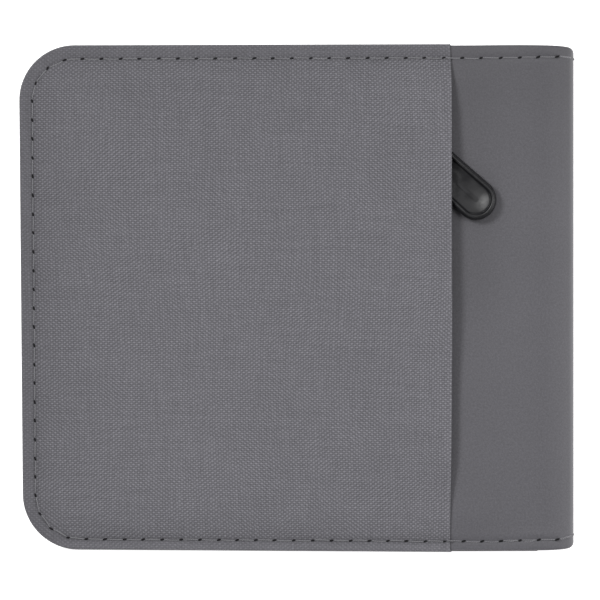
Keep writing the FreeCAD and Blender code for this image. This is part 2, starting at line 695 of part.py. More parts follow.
def line_run(x0, y0, x1, y1, z, pitch, long=2.9):
    """Stitches spread evenly along a straight seam."""
    total = math.hypot(x1 - x0, y1 - y0)
    count = max(1, int(round(total / pitch)))
    angle = math.degrees(math.atan2(y1 - y0, x1 - x0))
    step = total / count
    long = min(long, step - 0.45)
    return [
        (x0 + (x1 - x0) * (i + 0.5) / count, y0 + (y1 - y0) * (i + 0.5) / count, z, angle, long)
        for i in range(count)
    ]


def arc_run(cx, cy, radius, a0, a1, z, pitch, long=2.9):
    """Stitches round a corner."""
    total = abs(math.radians(a1 - a0)) * radius
    count = max(1, int(round(total / pitch)))
    found = []
    for i in range(count):
        a = a0 + (a1 - a0) * (i + 0.5) / count
        found.append(
            (cx + radius * math.cos(math.radians(a)), cy + radius * math.sin(math.radians(a)), z, a + 90,
             min(long, total / count - 0.6))
        )
    return found


p = stitch_pitch.value
m = stitch_margin.value
xo, xp = x_open.value, x_panel.value
yt, yl = y_top.value, y_low.value
cr = corner.value
zf, zs = z_flap.value, z_face.value
edge = flap_free.value
runs = []
for side in (1, -1):
    y = side * (yt - m)
    runs += line_run(xo + cr, y, edge - 0.5, y, zf, p)
    runs += line_run(edge + 0.5, y, xp, y, zs, p)
runs += line_run(xo + m, -(yt - cr), xo + m, yt - cr, zf, p)
runs += arc_run(xo + cr, yt - cr, cr - m, 90, 180, zf, p)
runs += arc_run(xo + cr, yl + cr, cr - m, 180, 270, zf, p)
stitches("back_edge_thread", runs)

zi = z_front_pocket.value
runs = line_run(xo + m, yl + cr, xo + m, inner_top.value - 9, zi, p)
runs += line_run(xo + cr, yl + m - 0.3, inner_end.value - 0.5, yl + m - 0.3, zi, p)
runs += arc_run(xo + cr, yl + cr, cr - m, 180, 270, zi, p)
stitches("front_inner_thread", runs)
zi = z_back_inner.value - 0.2
runs = [(x, y, zi, a, l) for x, y, z, a, l in runs]
stitches("back_inner_thread", runs)

# pocket seams: a U round each stack of pockets, on its front leaf
pl, pr, pb = pocket_left.value, pocket_right.value, pocket_low.value
top_leaf = (mouth_1 - mouth_step * 2).value
zt = z_front_top.value
runs = line_run(pl + 1.5, pb + 3.4, pl + 1.5, top_leaf - 0.5, zt, p)
runs += line_run(pr - 1.5, pb + 3.4, pr - 1.5, top_leaf - 0.5, zt, p)
runs += line_run(pl + 3.2, pb + 1.5, pr - 3.2, pb + 1.5, zt, p)
stitches("front_pocket_thread", runs)
zt = z_frame.value - 0.2
fh = frame_high.value
runs = line_run(pl + 1.5, pb + 3.4, pl + 1.5, fh - 0.5, zt, p)
runs += line_run(pr - 1.5, pb + 3.4, pr - 1.5, fh - 0.5, zt, p)
runs += line_run(pl + 3.2, pb + 1.5, pr - 3.2, pb + 1.5, zt, p)
stitches("back_pocket_thread", runs)

# the seams that hold the zip tapes, one on each side of the slot
zx = zip_x.value
reach = zip_slot.value + 2.0
runs = line_run(zx + reach, yl + 4.6, zx + reach, yt - 4.6, zs, p)
runs += line_run(zx - reach, yl + 4.6, zx - reach, yt - 4.6, zs, p)
stitches("zip_thread", runs)

# ---------------------------------------------------------------- check and write
doc.recompute()
problems = []
for obj in doc.Objects:
    if "Invalid" in obj.State or "Error" in obj.State:
        problems.append(obj.Name + " is " + ", ".join(obj.State))
for label in labels:
    found = doc.getObjectsByLabel(label)
    if len(found) != 1:
        problems.append(label + " has %d objects" % len(found))
        continue
    shape = found[0].Shape
    if shape.isNull() or not shape.isValid() or not shape.Solids:
        problems.append(label + " has no valid solid")
if problems:
    raise RuntimeError("; ".join(problems))
for label in labels:
    obj = doc.getObjectsByLabel(label)[0]
    obj.Shape.exportStep("parts/" + label + ".step")
    box = obj.Shape.BoundBox
    print("%-24s solids %2d  volume %9.2f  x %7.2f %7.2f  y %7.2f %7.2f  z %6.2f %6.2f" % (
        label, len(obj.Shape.Solids), obj.Shape.Volume, box.XMin, box.XMax, box.YMin, box.YMax, box.ZMin, box.ZMax))
print(len(labels), "nodes")
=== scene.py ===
import json
import math

import bmesh
import bpy
import numpy as np
from mathutils import Matrix, Vector


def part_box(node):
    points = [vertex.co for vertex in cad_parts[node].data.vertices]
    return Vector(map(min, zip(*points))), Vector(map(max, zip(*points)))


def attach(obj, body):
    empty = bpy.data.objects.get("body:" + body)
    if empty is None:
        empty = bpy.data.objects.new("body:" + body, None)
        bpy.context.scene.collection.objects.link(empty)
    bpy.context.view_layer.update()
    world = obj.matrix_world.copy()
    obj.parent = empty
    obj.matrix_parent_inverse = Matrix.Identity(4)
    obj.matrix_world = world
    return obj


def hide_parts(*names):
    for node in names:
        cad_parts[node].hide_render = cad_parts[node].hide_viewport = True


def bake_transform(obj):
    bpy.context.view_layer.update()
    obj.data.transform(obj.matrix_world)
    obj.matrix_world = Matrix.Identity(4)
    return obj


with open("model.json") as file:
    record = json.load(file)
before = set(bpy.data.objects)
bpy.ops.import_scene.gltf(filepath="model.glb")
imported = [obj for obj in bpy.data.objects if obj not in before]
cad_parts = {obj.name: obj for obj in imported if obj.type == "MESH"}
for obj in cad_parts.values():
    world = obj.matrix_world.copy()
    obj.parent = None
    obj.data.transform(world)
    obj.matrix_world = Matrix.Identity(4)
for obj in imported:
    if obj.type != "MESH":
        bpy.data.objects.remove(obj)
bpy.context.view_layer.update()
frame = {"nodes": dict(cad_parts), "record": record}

MM = 0.001
rng = np.random.default_rng(43)


# ------------------------------------------------------------------ places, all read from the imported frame
def mm(node):
    low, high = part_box(node)
    return np.array(low) / MM, np.array(high) / MM


cover_lo, cover_hi = mm("front_cover_panel")
flap_lo, flap_hi = mm("back_flap_panel")
lip_lo, lip_hi = mm("flap_lip")
smooth_lo, smooth_hi = mm("back_smooth_panel")
spine_lo, spine_hi = mm("spine_panel")
pull_lo, pull_hi = mm("puller")
slider_lo, slider_hi = mm("slider_body")
ring_lo, ring_hi = mm("pull_ring")
wall_lo, wall_hi = mm("coin_pocket_outer_wall")
joints = {j["name"]: j for j in frame["record"]["behaviour"]["joints"]}

X0 = flap_lo[0]            # open side
X1 = spine_hi[0]           # spine
YT = flap_hi[1]            # half height
XF = flap_hi[0]            # free edge of the flap
ZF = smooth_hi[2]          # outer face of the smooth panel
ZT = ZF + 0.8              # outer face of the flap where it lies flat
RISE = flap_hi[2] - ZT     # how far the flap stands off
CR = 10.4                  # radius of the two outer corners
PITCH = 3.54               # stitch length


def ss(t):
    t = np.clip(t, 0.0, 1.0)
    return t * t * (3 - 2 * t)


def border(x, y):
    """Distance from the wallet's open edges: its left side, top and bottom, round the two corners."""
    x, y = np.asarray(x, float), np.abs(np.asarray(y, float))
    straight = np.minimum(x - X0, YT - y)
    cx, cy = X0 + CR, YT - CR
    corner = CR - np.hypot(x - cx, y - cy)
    return np.where((x < cx) & (y > cy), corner, straight)


def pinch(x, y, z, half):
    """The layers are drawn together towards the sewn edges, and the wallet is fuller in the middle."""
    x, y, z = np.asarray(x, float), np.asarray(y, float), np.asarray(z, float)
    f = (1 - ss(border(x, y) / 7.5)) * (1 - ss((x - 30) / 14))
    if half == "back":
        return 7.7 + (z - 7.7) * (1 - 0.30 * f)
    return 1.75 + (z - 1.75) * (1 - 0.28 * f)


def settle(verts):
    """The sewn wallet isn't quite a true rectangle: its open side leans and it is a little shorter there."""
    v = np.array(verts, float)
    x, y = v[:, 0].copy(), v[:, 1].copy()
    t = np.clip((X1 - x) / (X1 - X0), 0, 1)
    s = np.clip((x + 41.6) / 70.0, 0, 1)
    v[:, 0] = x + t * (0.064 - 0.00884 * y)
    grow = np.where(y > 0, -0.25 + 0.21 * s, -0.42 + 0.45 * s)
    v[:, 1] = y + y / YT * grow
    return v


# ------------------------------------------------------------------ materials
class Nodes:
    """Short words for building a node material."""

    def __init__(self, name):
        self.mat = bpy.data.materials.new(name)
        self.mat.use_nodes = True
        self.tree = self.mat.node_tree
        self.tree.nodes.clear()
        self.out = self.add("ShaderNodeOutputMaterial")
        self.bsdf = self.add("ShaderNodeBsdfPrincipled")
        self.link(self.bsdf.outputs[0], self.out.inputs["Surface"])

    def add(self, kind, **values):
        node = self.tree.nodes.new(kind)
        for key, value in values.items():
            setattr(node, key, value)
        return node

    def link(self, a, b):
        self.tree.links.new(a, b)

    def feed(self, socket, value):
        if hasattr(value, "is_linked") or hasattr(value, "links"):
            self.link(value, socket)
        else:
            socket.default_value = value

    def math(self, op, a, b=None, c=None, clamp=False):
        node = self.add("ShaderNodeMath", operation=op, use_clamp=clamp)
        for i, v in enumerate((a, b, c)):
            if v is not None:
                self.feed(node.inputs[i], v)
        return node.outputs[0]

    def vec(self, op, a, b=None):
        node = self.add("ShaderNodeVectorMath", operation=op)
        self.feed(node.inputs[0], a)
        if b is not None:
            self.feed(node.inputs[1], b)
        return node.outputs[0]

    def uv(self):
        return self.add("ShaderNodeUVMap", uv_map="weave").outputs[0]

    def scaled(self, vector, scale):
        node = self.add("ShaderNodeMapping")
        self.feed(node.inputs["Vector"], vector)
        node.inputs["Scale"].default_value = scale
        return node.outputs[0]

    def noise(self, vector, scale, detail=2.0, rough=0.5, out="Fac"):
        node = self.add("ShaderNodeTexNoise")
        self.feed(node.inputs["Vector"], vector)
        node.inputs["Scale"].default_value = scale
        node.inputs["Detail"].default_value = detail
        node.inputs["Roughness"].default_value = rough
        return node.outputs[out]

    def range(self, value, a, b, c, d, clamp=True):
        node = self.add("ShaderNodeMapRange", clamp=clamp)
        self.feed(node.inputs["Value"], value)
        for key, v in (("From Min", a), ("From Max", b), ("To Min", c), ("To Max", d)):
            node.inputs[key].default_value = v
        return node.outputs[0]

    def mix(self, fac, a, b, blend="MIX"):
        node = self.add("ShaderNodeMix", data_type="RGBA", blend_type=blend)
        self.feed(node.inputs["Factor"], fac)
        self.feed(node.inputs[6], a)
        self.feed(node.inputs[7], b)
        return node.outputs[2]

    def tone(self, colour, factor):
        """The colour times a number."""
        node = self.add("ShaderNodeVectorMath", operation="SCALE")
        self.feed(node.inputs[0], colour[:3] if isinstance(colour, tuple) else colour)
        self.feed(node.inputs["Scale"], factor)
        return node.outputs[0]

    def split(self, vector):
        node = self.add("ShaderNodeSeparateXYZ")
        self.feed(node.inputs[0], vector)
        return node.outputs

    def join(self, x, y, z=0.0):
        node = self.add("ShaderNodeCombineXYZ")
        for i, v in enumerate((x, y, z)):
            self.feed(node.inputs[i], v)
        return node.outputs[0]

    def attribute(self, name):
        return self.add("ShaderNodeAttribute", attribute_name=name).outputs["Fac"]

    def bump(self, height, strength, distance, normal=None):
        node = self.add("ShaderNodeBump")
        node.inputs["Strength"].default_value = strength
        node.inputs["Distance"].default_value = distance
        self.feed(node.inputs["Height"], height)
        if normal is not None:
            self.link(normal, node.inputs["Normal"])
        return node.outputs[0]

    def finish(self, colour, rough, normal=None, **sockets):
        self.feed(self.bsdf.inputs["Base Color"], colour)
        self.feed(self.bsdf.inputs["Roughness"], rough)
        if normal is not None:
            self.link(normal, self.bsdf.inputs["Normal"])
        for key, value in sockets.items():
            self.bsdf.inputs[key.replace("_", " ")].default_value = value
        return self.mat


def woven(name, colour, pitch=(0.48, 0.37), contrast=0.3, depth=0.05, rough=0.85, sheen=0.15, toned=True, slub=0.17,
          groove_shade=(0.22, 0.40)):
    """Plain weave from the cloth's own coordinates: yarns that pass over and under, with uneven yarns."""
    n = Nodes(name)
    uv = n.uv()
    flat = n.scaled(uv, (1000.0, 1000.0, 1.0))
    drift = n.vec("SUBTRACT", n.noise(flat, 0.35, 2.0, 0.5, "Color"), (0.5, 0.5, 0.5))
    drift = n.vec("MULTIPLY", drift, (0.55, 0.55, 0.0))
    fine = n.vec("SUBTRACT", n.noise(flat, 1.7, 1.0, 0.5, "Color"), (0.5, 0.5, 0.5))
    fine = n.vec("MULTIPLY", fine, (0.50, 0.50, 0.0))
    # the cloth was never cut quite square: its yarns wander slowly and its weft runs a little uphill
    slow = n.vec("SUBTRACT", n.noise(flat, 0.022, 1.0, 0.5, "Color"), (0.5, 0.5, 0.5))
    slow = n.vec("MULTIPLY", slow, (5.0, 5.0, 0.0))
    cells = n.vec("ADD", n.vec("ADD", n.scaled(uv, (1000.0 / pitch[0], 1000.0 / pitch[1], 1.0)), drift), fine)
    cells = n.vec("ADD", cells, slow)
    u, v, _ = n.split(cells)
    v = n.math("ADD", v, n.math("MULTIPLY", u, 0.030))
    # the light catches one slope of the yarns or the other as the cloth turns a little
    lean = n.range(n.noise(flat, 0.07, 2.0, 0.5), 0.36, 0.64, -0.34, 0.34)
    rising = n.math("COSINE", n.math("MULTIPLY", n.math("SUBTRACT", u, v), math.pi))
    falling = n.math("COSINE", n.math("MULTIPLY", n.math("ADD", u, v), math.pi))
    over = n.math("SUBTRACT", n.math("MULTIPLY", n.math("MULTIPLY_ADD", lean, 0.5, 0.5), rising),
                  n.math("MULTIPLY", n.math("MULTIPLY_ADD", lean, -0.5, 0.5), falling))
    ridge_u = n.math("ABSOLUTE", n.math("SINE", n.math("MULTIPLY", u, math.pi)))
    ridge_v = n.math("ABSOLUTE", n.math("SINE", n.math("MULTIPLY", v, math.pi)))
    crown = n.math("POWER", n.math("MULTIPLY", ridge_u, ridge_v), 0.6)
    # yarns differ from each other in shade, each along its whole length
    warp = n.noise(n.join(n.math("FLOOR", u), n.math("MULTIPLY", v, 0.02)), 3.1, 1.0)
    weft = n.noise(n.join(n.math("MULTIPLY", u, 0.02), n.math("ADD", n.math("FLOOR", v), 91.0)), 2.7, 1.0)
    yarn = n.math("MULTIPLY_ADD", n.math("SUBTRACT", n.math("ADD", warp, weft), 1.0), slub * 2.0, 1.0)
    speck = n.math("MULTIPLY_ADD", n.math("SUBTRACT", n.noise(flat, 2.2, 2.0, 0.6), 0.5), 0.50, 1.0)
    cloud = n.math("MULTIPLY_ADD", n.math("SUBTRACT", n.noise(flat, 0.06, 3.0, 0.55), 0.5), 0.10, 1.0)
    value = n.range(over, -0.9, 0.9, -contrast, contrast)
    # painted shade in the grooves between the yarns, and a painted highlight on their crowns
    value = n.math("ADD", value, n.range(ridge_u, 0.0, 1.0, -groove_shade[0], groove_shade[0] * 0.55))
    value = n.math("ADD", value, n.range(ridge_v, 0.0, 1.0, -groove_shade[1], groove_shade[1] * 0.55))
    if toned:
        value = n.math("MULTIPLY", value, n.attribute("relief"))
    value = n.math("ADD", value, 1.0)
    value = n.math("MULTIPLY", value, yarn)
    value = n.math("MULTIPLY", value, speck)
    value = n.math("MULTIPLY", value, cloud)
    # the tone attribute brings in painted light and shade
    if toned:
        value = n.math("MULTIPLY", value, n.attribute("tone"))
    height = n.math("ADD", crown, n.math("MULTIPLY", n.noise(flat, 9.0, 2.0), 0.25))
    normal = n.bump(height, 0.55, depth * MM)
    rough_map = n.range(crown, 0.0, 1.0, min(1.0, rough + 0.08), rough - 0.05)
    return n.finish(n.tone(colour + (1.0,), value), rough_map, normal,
                    Sheen_Weight=sheen, Sheen_Roughness=0.5, Specular_IOR_Level=0.25)


def coated(name, colour, rough=0.52):
    """Smooth coated cloth: a faint fine grain, a little mottled, with a soft sheen."""
    n = Nodes(name)
    flat = n.scaled(n.uv(), (1000.0, 1000.0, 1.0))
    grain = n.add("ShaderNodeTexVoronoi")
    n.feed(grain.inputs["Vector"], flat)
    grain.inputs["Scale"].default_value = 4.2
    cell = grain.outputs["Distance"]
    fine = n.noise(flat, 2.6, 3.0, 0.7)
    weave_u, weave_v, _ = n.split(n.scaled(flat, (1 / 0.3, 1 / 0.3, 1.0)))
    backing = n.math("MULTIPLY", n.math("SINE", n.math("MULTIPLY", weave_u, math.pi)),
                     n.math("SINE", n.math("MULTIPLY", weave_v, math.pi)))
    cloud = n.math("MULTIPLY_ADD", n.math("SUBTRACT", n.noise(flat, 0.09, 3.0, 0.6), 0.5), 0.10, 1.0)
    value = n.math("MULTIPLY", cloud, n.math("MULTIPLY_ADD", n.math("SUBTRACT", fine, 0.5), 0.86, 1.0))
    value = n.math("MULTIPLY", value, n.range(cell, 0.0, 0.6, 1.09, 0.92))
    # the tone attribute brings in painted light and shade
    value = n.math("MULTIPLY", value, n.attribute("tone"))
    height = n.math("ADD", n.math("MULTIPLY", cell, 0.6), n.math("MULTIPLY", fine, 0.6))
    height = n.math("ADD", height, n.math("MULTIPLY", backing, 0.12))
    normal = n.bump(height, 0.35, 0.03 * MM)
    rough_map = n.range(fine, 0.3, 0.7, rough - 0.05, rough + 0.08)
    return n.finish(n.tone(colour + (1.0,), value), rough_map, normal,
                    Specular_IOR_Level=0.35, Sheen_Weight=0.05)


def thread_material(name, colour):
    """Twisted sewing thread: slanting plies along its length."""
    n = Nodes(name)
    u, v, _ = n.split(n.scaled(n.uv(), (1000.0, 1.0, 1.0)))
    twist = n.math("SINE", n.math("ADD", n.math("MULTIPLY", u, 2 * math.pi / 0.42), n.math("MULTIPLY", v, 4 * math.pi)))
    # painted shade and highlight: darker in the twist's grooves, lighter on the plies
    ply = n.range(twist, -1.0, 1.0, 0.72, 1.15)
    fuzz = n.noise(n.join(n.math("MULTIPLY", u, 3.0), n.math("MULTIPLY", v, 4.0)), 2.0, 2.0)
    value = n.math("MULTIPLY", ply, n.math("MULTIPLY_ADD", n.math("SUBTRACT", fuzz, 0.5), 0.3, 1.0))
    normal = n.bump(n.math("ADD", twist, fuzz), 0.5, 0.04 * MM)
    return n.finish(n.tone(colour + (1.0,), value), n.range(fuzz, 0.3, 0.7, 0.6, 0.8), normal, Sheen_Weight=0.2)


def moulded(name, colour, rough=0.42, coarse=1.0):
    """Moulded rubber or plastic with a fine eroded surface."""
    n = Nodes(name)
    at = n.scaled(n.add("ShaderNodeTexCoord").outputs["Object"], (1000.0, 1000.0, 1000.0))
    fine = n.noise(at, 7.0 * coarse, 3.0, 0.6)
    broad = n.noise(at, 0.6, 2.0, 0.5)
    value = n.math("MULTIPLY_ADD", n.math("SUBTRACT", broad, 0.5), 0.35, 1.0)
    value = n.math("MULTIPLY", value, n.math("MULTIPLY_ADD", n.math("SUBTRACT", fine, 0.5), 0.18, 1.0))
    normal = n.bump(fine, 0.22, 0.03 * MM)
    return n.finish(n.tone(colour + (1.0,), value), n.range(broad, 0.3, 0.7, rough - 0.05, rough + 0.10), normal,
                    Specular_IOR_Level=0.29)


def lacquered(name, colour, rough=0.3, metal=0.0):
    """Lacquered die-cast metal: worn a little paler in scattered patches, finely uneven."""
    n = Nodes(name)
    at = n.scaled(n.add("ShaderNodeTexCoord").outputs["Object"], (1000.0, 1000.0, 1000.0))
    fine = n.noise(at, 3.0, 4.0, 0.6)
    worn = n.range(n.noise(at, 1.1, 4.0, 0.65), 0.58, 0.75, 0.0, 1.0)
    colour_map = n.mix(n.math("MULTIPLY", worn, 0.35), colour + (1.0,), (colour[0] * 4, colour[1] * 4, colour[2] * 4, 1.0))
    colour_map = n.tone(colour_map, n.range(fine, 0.3, 0.7, 0.85, 1.15))
    normal = n.bump(fine, 0.12, 0.03 * MM)
    return n.finish(colour_map, n.range(fine, 0.3, 0.7, rough - 0.06, rough + 0.12), normal,
                    Metallic=metal, Coat_Weight=0.3, Coat_Roughness=0.25)


def film_material(name):
    n = Nodes(name)
    at = n.scaled(n.uv(), (1000.0, 1000.0, 1.0))
    wave = n.noise(at, 0.08, 3.0, 0.6)
    scratch = n.noise(n.scaled(at, (0.4, 6.0, 1.0)), 1.4, 3.0, 0.7)
    normal = n.bump(n.math("ADD", wave, n.math("MULTIPLY", scratch, 0.05)), 0.5, 0.3 * MM)
    colour = n.tone((0.80, 0.82, 0.84, 1.0), n.range(wave, 0.3, 0.7, 0.92, 1.05))
    mat = n.finish(colour, n.range(scratch, 0.4, 0.8, 0.07, 0.22), normal, Specular_IOR_Level=0.6)
    n.bsdf.inputs["Alpha"].default_value = 0.22
    return mat


cloth_out = woven("woven_outer", (0.1168, 0.1145, 0.1266), contrast=0.325, slub=0.12, groove_shade=(0.20, 0.33))
cloth_edge = woven("woven_turned_edge", (0.1080, 0.1060, 0.1165), contrast=0.25, toned=False)
cloth_pocket = woven("woven_pocket", (0.0950, 0.0940, 0.1030), pitch=(0.42, 0.36), contrast=0.26)
cloth_lining = woven("lining_twill", (0.0450, 0.0450, 0.0500), pitch=(0.26, 0.22), contrast=0.22, depth=0.03, rough=0.6, sheen=0.1)
cloth_tape = woven("zip_tape_weave", (0.0200, 0.0200, 0.0220), pitch=(0.30, 0.55), contrast=0.35, depth=0.06, rough=0.8, sheen=0.1)
coated_out = coated("coated_outer", (0.0845, 0.0822, 0.0922))
thread_grey = thread_material("thread_grey", (0.1480, 0.1460, 0.1580))
thread_inner = thread_material("thread_inner", (0.1500, 0.1480, 0.1600))
rubber_black = moulded("puller_rubber", (0.0100, 0.0100, 0.0113), rough=0.35)
nylon_black = moulded("coil_nylon", (0.0130, 0.0130, 0.0145), rough=0.32, coarse=0.5)
metal_black = lacquered("slider_lacquer", (0.0120, 0.0120, 0.0135))
# painted shade: each needle hole is a dark lens standing in for the shade inside the hole
painted_hole_shade = moulded("needle_hole_shade", (0.0060, 0.0060, 0.0070), rough=0.9)
film_clear = film_material("window_film")


# ------------------------------------------------------------------ mesh helpers
def build(name, verts, faces, material, uvs=None, tone=None, smooth=True, relief_of=None, rigid=False):
    """A mesh object from points in millimetres, with the cloth's own coordinates in metres."""
    mesh = bpy.data.meshes.new(name)
    verts = np.asarray(verts, float)
    placed = verts if rigid else settle(verts)
    mesh.from_pydata((placed * MM).tolist(), [], [tuple(int(i) for i in f) for f in faces])
    mesh.update()
    layer = mesh.uv_layers.new(name="weave")
    index = np.zeros(len(mesh.loops), np.int32)
    mesh.loops.foreach_get("vertex_index", index)
    if uvs is None:
        uvs = verts[:, :2]
    layer.data.foreach_set("uv", (np.asarray(uvs, float)[index] * MM).ravel().astype(np.float32))
    # the tone attribute carries painted light and shade where a panel is given one
    attribute = mesh.attributes.new("tone", "FLOAT", "POINT")
    tone = np.ones(len(verts)) if tone is None else np.asarray(tone, float)
    attribute.data.foreach_set("value", tone.astype(np.float32))
    # the weave is pressed flatter where a margin has been turned in and sewn
    relief = mesh.attributes.new("relief", "FLOAT", "POINT")
    pressed = np.ones(len(verts)) if relief_of is None else np.asarray(relief_of(verts[:, 0], verts[:, 1]), float)
    relief.data.foreach_set("value", pressed.astype(np.float32))
    if smooth:
        mesh.polygons.foreach_set("use_smooth", np.ones(len(mesh.polygons), bool))
    mesh.materials.append(material)
    obj = bpy.data.objects.new(name, mesh)
    bpy.context.scene.collection.objects.link(obj)
    return obj


def outward(obj):
    """Makes every face look outwards."""
    bm = bmesh.new()
    bm.from_mesh(obj.data)
    bmesh.ops.recalc_face_normals(bm, faces=bm.faces)
    bm.to_mesh(obj.data)
    bm.free()
    obj.data.update()
    return obj


def stations(length, near, far, step, near_list=(0, 0.04, 0.14, 0.3, 0.55, 0.9, 1.4)):
    """Places across a width: close together at both edges, then even."""
    a = [v for v in near_list if v < length / 2] if near else [0.0]
    b = [v for v in near_list if v < length / 2] if far else [0.0]
    first, last = a[-1], length - b[-1]
    count = max(1, int(math.ceil((last - first) / step)))
    middle = np.linspace(first, last, count + 1)[1:-1]
    return np.array(a + list(middle) + [length - v for v in reversed(b)])


def rounded_distance(x, y, x0, x1, y0, y1, radii):
    """Distance inside a rectangle whose corners (low left, low right, high right, high left) are rounded."""
    d = np.minimum(np.minimum(x - x0, x1 - x), np.minimum(y - y0, y1 - y))
    for (cx, cy, sx, sy), r in zip(
        ((x0, y0, 1, 1), (x1, y0, -1, 1), (x1, y1, -1, -1), (x0, y1, 1, -1)), radii
    ):
        if r <= 0:
            continue
        px, py = (x - cx) * sx, (y - cy) * sy
        d = np.where((px < r) & (py < r), r - np.hypot(r - px, r - py), d)
    return np.maximum(d, 0)


def inset_at(y, y0, y1, r_low, r_high):
    """How far a rounded corner moves the side in at this height."""
    out = np.zeros_like(y)
    if r_low > 0:
        q = np.clip(r_low - (y - y0), 0, r_low)
        out = np.maximum(out, r_low - np.sqrt(np.maximum(r_low**2 - q**2, 0)))
    if r_high > 0:
        q = np.clip(r_high - (y1 - y), 0, r_high)
        out = np.maximum(out, r_high - np.sqrt(np.maximum(r_high**2 - q**2, 0)))
    return out


def panel(name, x0, x1, y0, y1, z0, z1, material, radii=(0, 0, 0, 0), half=None, step=2.5, edge=None,
          shape=None, extra_x=(), extra_y=(), tone=None, near=(0, 0.04, 0.14, 0.3, 0.55, 0.9, 1.4), relief_of=None):
    """A closed cloth panel with rolled edges. shape(x, y, side) adds to its height; side is +1 on top."""
    thick = z1 - z0
    edge = thick * 0.55 if edge is None else edge
    ys = stations(y1 - y0, True, True, step, near)
    r = max(radii)
    if r > 0:
        arc = r - r * np.cos(np.linspace(0, math.pi / 2, 13))
        ys = np.concatenate([ys, arc, (y1 - y0) - arc])
    ys = np.concatenate([ys + y0, np.asarray(extra_y, float)])
    ys = np.unique(np.round(ys[(ys >= y0 - 1e-9) & (ys <= y1 + 1e-9)], 3))
    keep = [ys[0]]
    for y in ys[1:-1]:
        if y - keep[-1] > 0.035 and ys[-1] - y > 0.035:
            keep.append(y)
    ys = np.array(keep + [ys[-1]])
    xs = stations(x1 - x0, True, True, step, near) + x0
    xs = np.concatenate([xs, np.asarray(extra_x, float)])
    xs = np.unique(np.round(xs[(xs >= x0 - 1e-9) & (xs <= x1 + 1e-9)], 3))
    keep = [xs[0]]
    for x in xs[1:-1]:
        if x - keep[-1] > 0.035 and xs[-1] - x > 0.035:
            keep.append(x)
    xs = np.array(keep + [xs[-1]])
    left = inset_at(ys, y0, y1, radii[0], radii[3])
    right = inset_at(ys, y0, y1, radii[1], radii[2])
    # columns keep their place in the middle and crowd towards a rounded corner
    soft_l = 1 - ss((xs - x0) / max(1.6 * radii[0], 1.6 * radii[3], 1e-3))
    soft_r = 1 - ss((x1 - xs) / max(1.6 * radii[1], 1.6 * radii[2], 1e-3))
    X = xs[None, :] + left[:, None] * soft_l[None, :] - right[:, None] * soft_r[None, :]
    Y = np.repeat(ys[:, None], len(xs), axis=1)
    D = rounded_distance(X, Y, x0, x1, y0, y1, radii)
    D[0, :] = D[-1, :] = 0
    D[:, 0] = D[:, -1] = 0
    q = 1 - np.clip(D / edge, 0, 1)
    h = np.sqrt(np.maximum(1 - q * q, 0))
    zm = (z0 + z1) / 2
    top = zm + thick / 2 * h
    bottom = zm - thick / 2 * h
    if shape is not None:
        st, sb = shape(X, Y, 1), shape(X, Y, -1)
        mid = (st + sb) / 2
        top = top + mid + (st - mid) * h
        bottom = bottom + mid + (sb - mid) * h
    if half:
        top, bottom = pinch(X, Y, top, half), pinch(X, Y, bottom, half)
    ny, nx = X.shape
    index = np.arange(ny * nx).reshape(ny, nx)
    verts = [np.stack([X, Y, top], -1).reshape(-1, 3)]
    inner = np.full((ny, nx), -1)
    mask = np.zeros((ny, nx), bool)
    mask[1:-1, 1:-1] = True
    inner[mask] = ny * nx + np.arange(mask.sum())
    verts.append(np.stack([X[mask], Y[mask], bottom[mask]], -1))
    under = np.where(mask, inner, index)
    verts = np.concatenate(verts)
    a, b, c, d = index[:-1, :-1], index[:-1, 1:], index[1:, 1:], index[1:, :-1]
    faces = np.stack([a, b, c, d], -1).reshape(-1, 4)
    a, b, c, d = under[:-1, :-1], under[:-1, 1:], under[1:, 1:], under[1:, :-1]
    below = np.stack([a, d, c, b], -1).reshape(-1, 4)
    faces = np.concatenate([faces, below])
    # the corner quads have both rows on the edge; the two halves would share a face there
    tone_values = None
    if tone is not None:
        t = tone(X, Y)
        tone_values = np.concatenate([t.reshape(-1), t[mask]])
    return build(name, verts, faces, material, verts[:, :2], tone_values, True, relief_of)


def tube(points, radius, sides=8, closed=False, caps=True, flat=1.0):
    """Vertices, faces and coordinates of a round tube along points (mm)."""
    p = np.asarray(points, float)
    n = len(p)
    r = np.full(n, radius, float) if np.isscalar(radius) else np.asarray(radius, float)
    if closed:
        t = np.roll(p, -1, 0) - np.roll(p, 1, 0)
    else:
        t = np.gradient(p, axis=0)
    t /= np.linalg.norm(t, axis=1)[:, None] + 1e-12
    up = np.array([0, 0, 1.0])
    if abs(t[0] @ up) > 0.9:
        up = np.array([1.0, 0, 0])
    normals = []
    prev = up - (up @ t[0]) * t[0]
    prev /= np.linalg.norm(prev)
    for i in range(n):
        prev = prev - (prev @ t[i]) * t[i]
        prev /= np.linalg.norm(prev) + 1e-12
        normals.append(prev.copy())
    normals = np.array(normals)
    side = np.cross(t, normals)
    angle = np.arange(sides) * 2 * math.pi / sides
    verts = (p[:, None, :] + r[:, None, None] * (
        np.cos(angle)[None, :, None] * normals[:, None, :] * flat + np.sin(angle)[None, :, None] * side[:, None, :]
    )).reshape(-1, 3)
    along = np.concatenate([[0], np.cumsum(np.linalg.norm(np.diff(p, axis=0), axis=1))])
    uvs = np.stack([np.repeat(along, sides), np.tile(np.arange(sides) / sides / MM, n)], -1)
    faces = []
    rows = n if closed else n - 1
    for i in range(rows):
        j = (i + 1) % n
        for k in range(sides):
            m = (k + 1) % sides
            faces.append((i * sides + k, i * sides + m, j * sides + m, j * sides + k))
    if caps and not closed:
        faces.append(tuple(reversed(range(sides))))
        faces.append(tuple((n - 1) * sides + k for k in range(sides)))
    return verts, faces, uvs


def gather(parts):
    """Joins (verts, faces, uvs) parts into one."""
    verts, faces, uvs, base = [], [], [], 0
    for v, f, u in parts:
        verts.append(v)
        uvs.append(u)
        faces += [tuple(i + base for i in face) for face in f]
        base += len(v)
    return np.concatenate(verts), faces, np.concatenate(uvs)


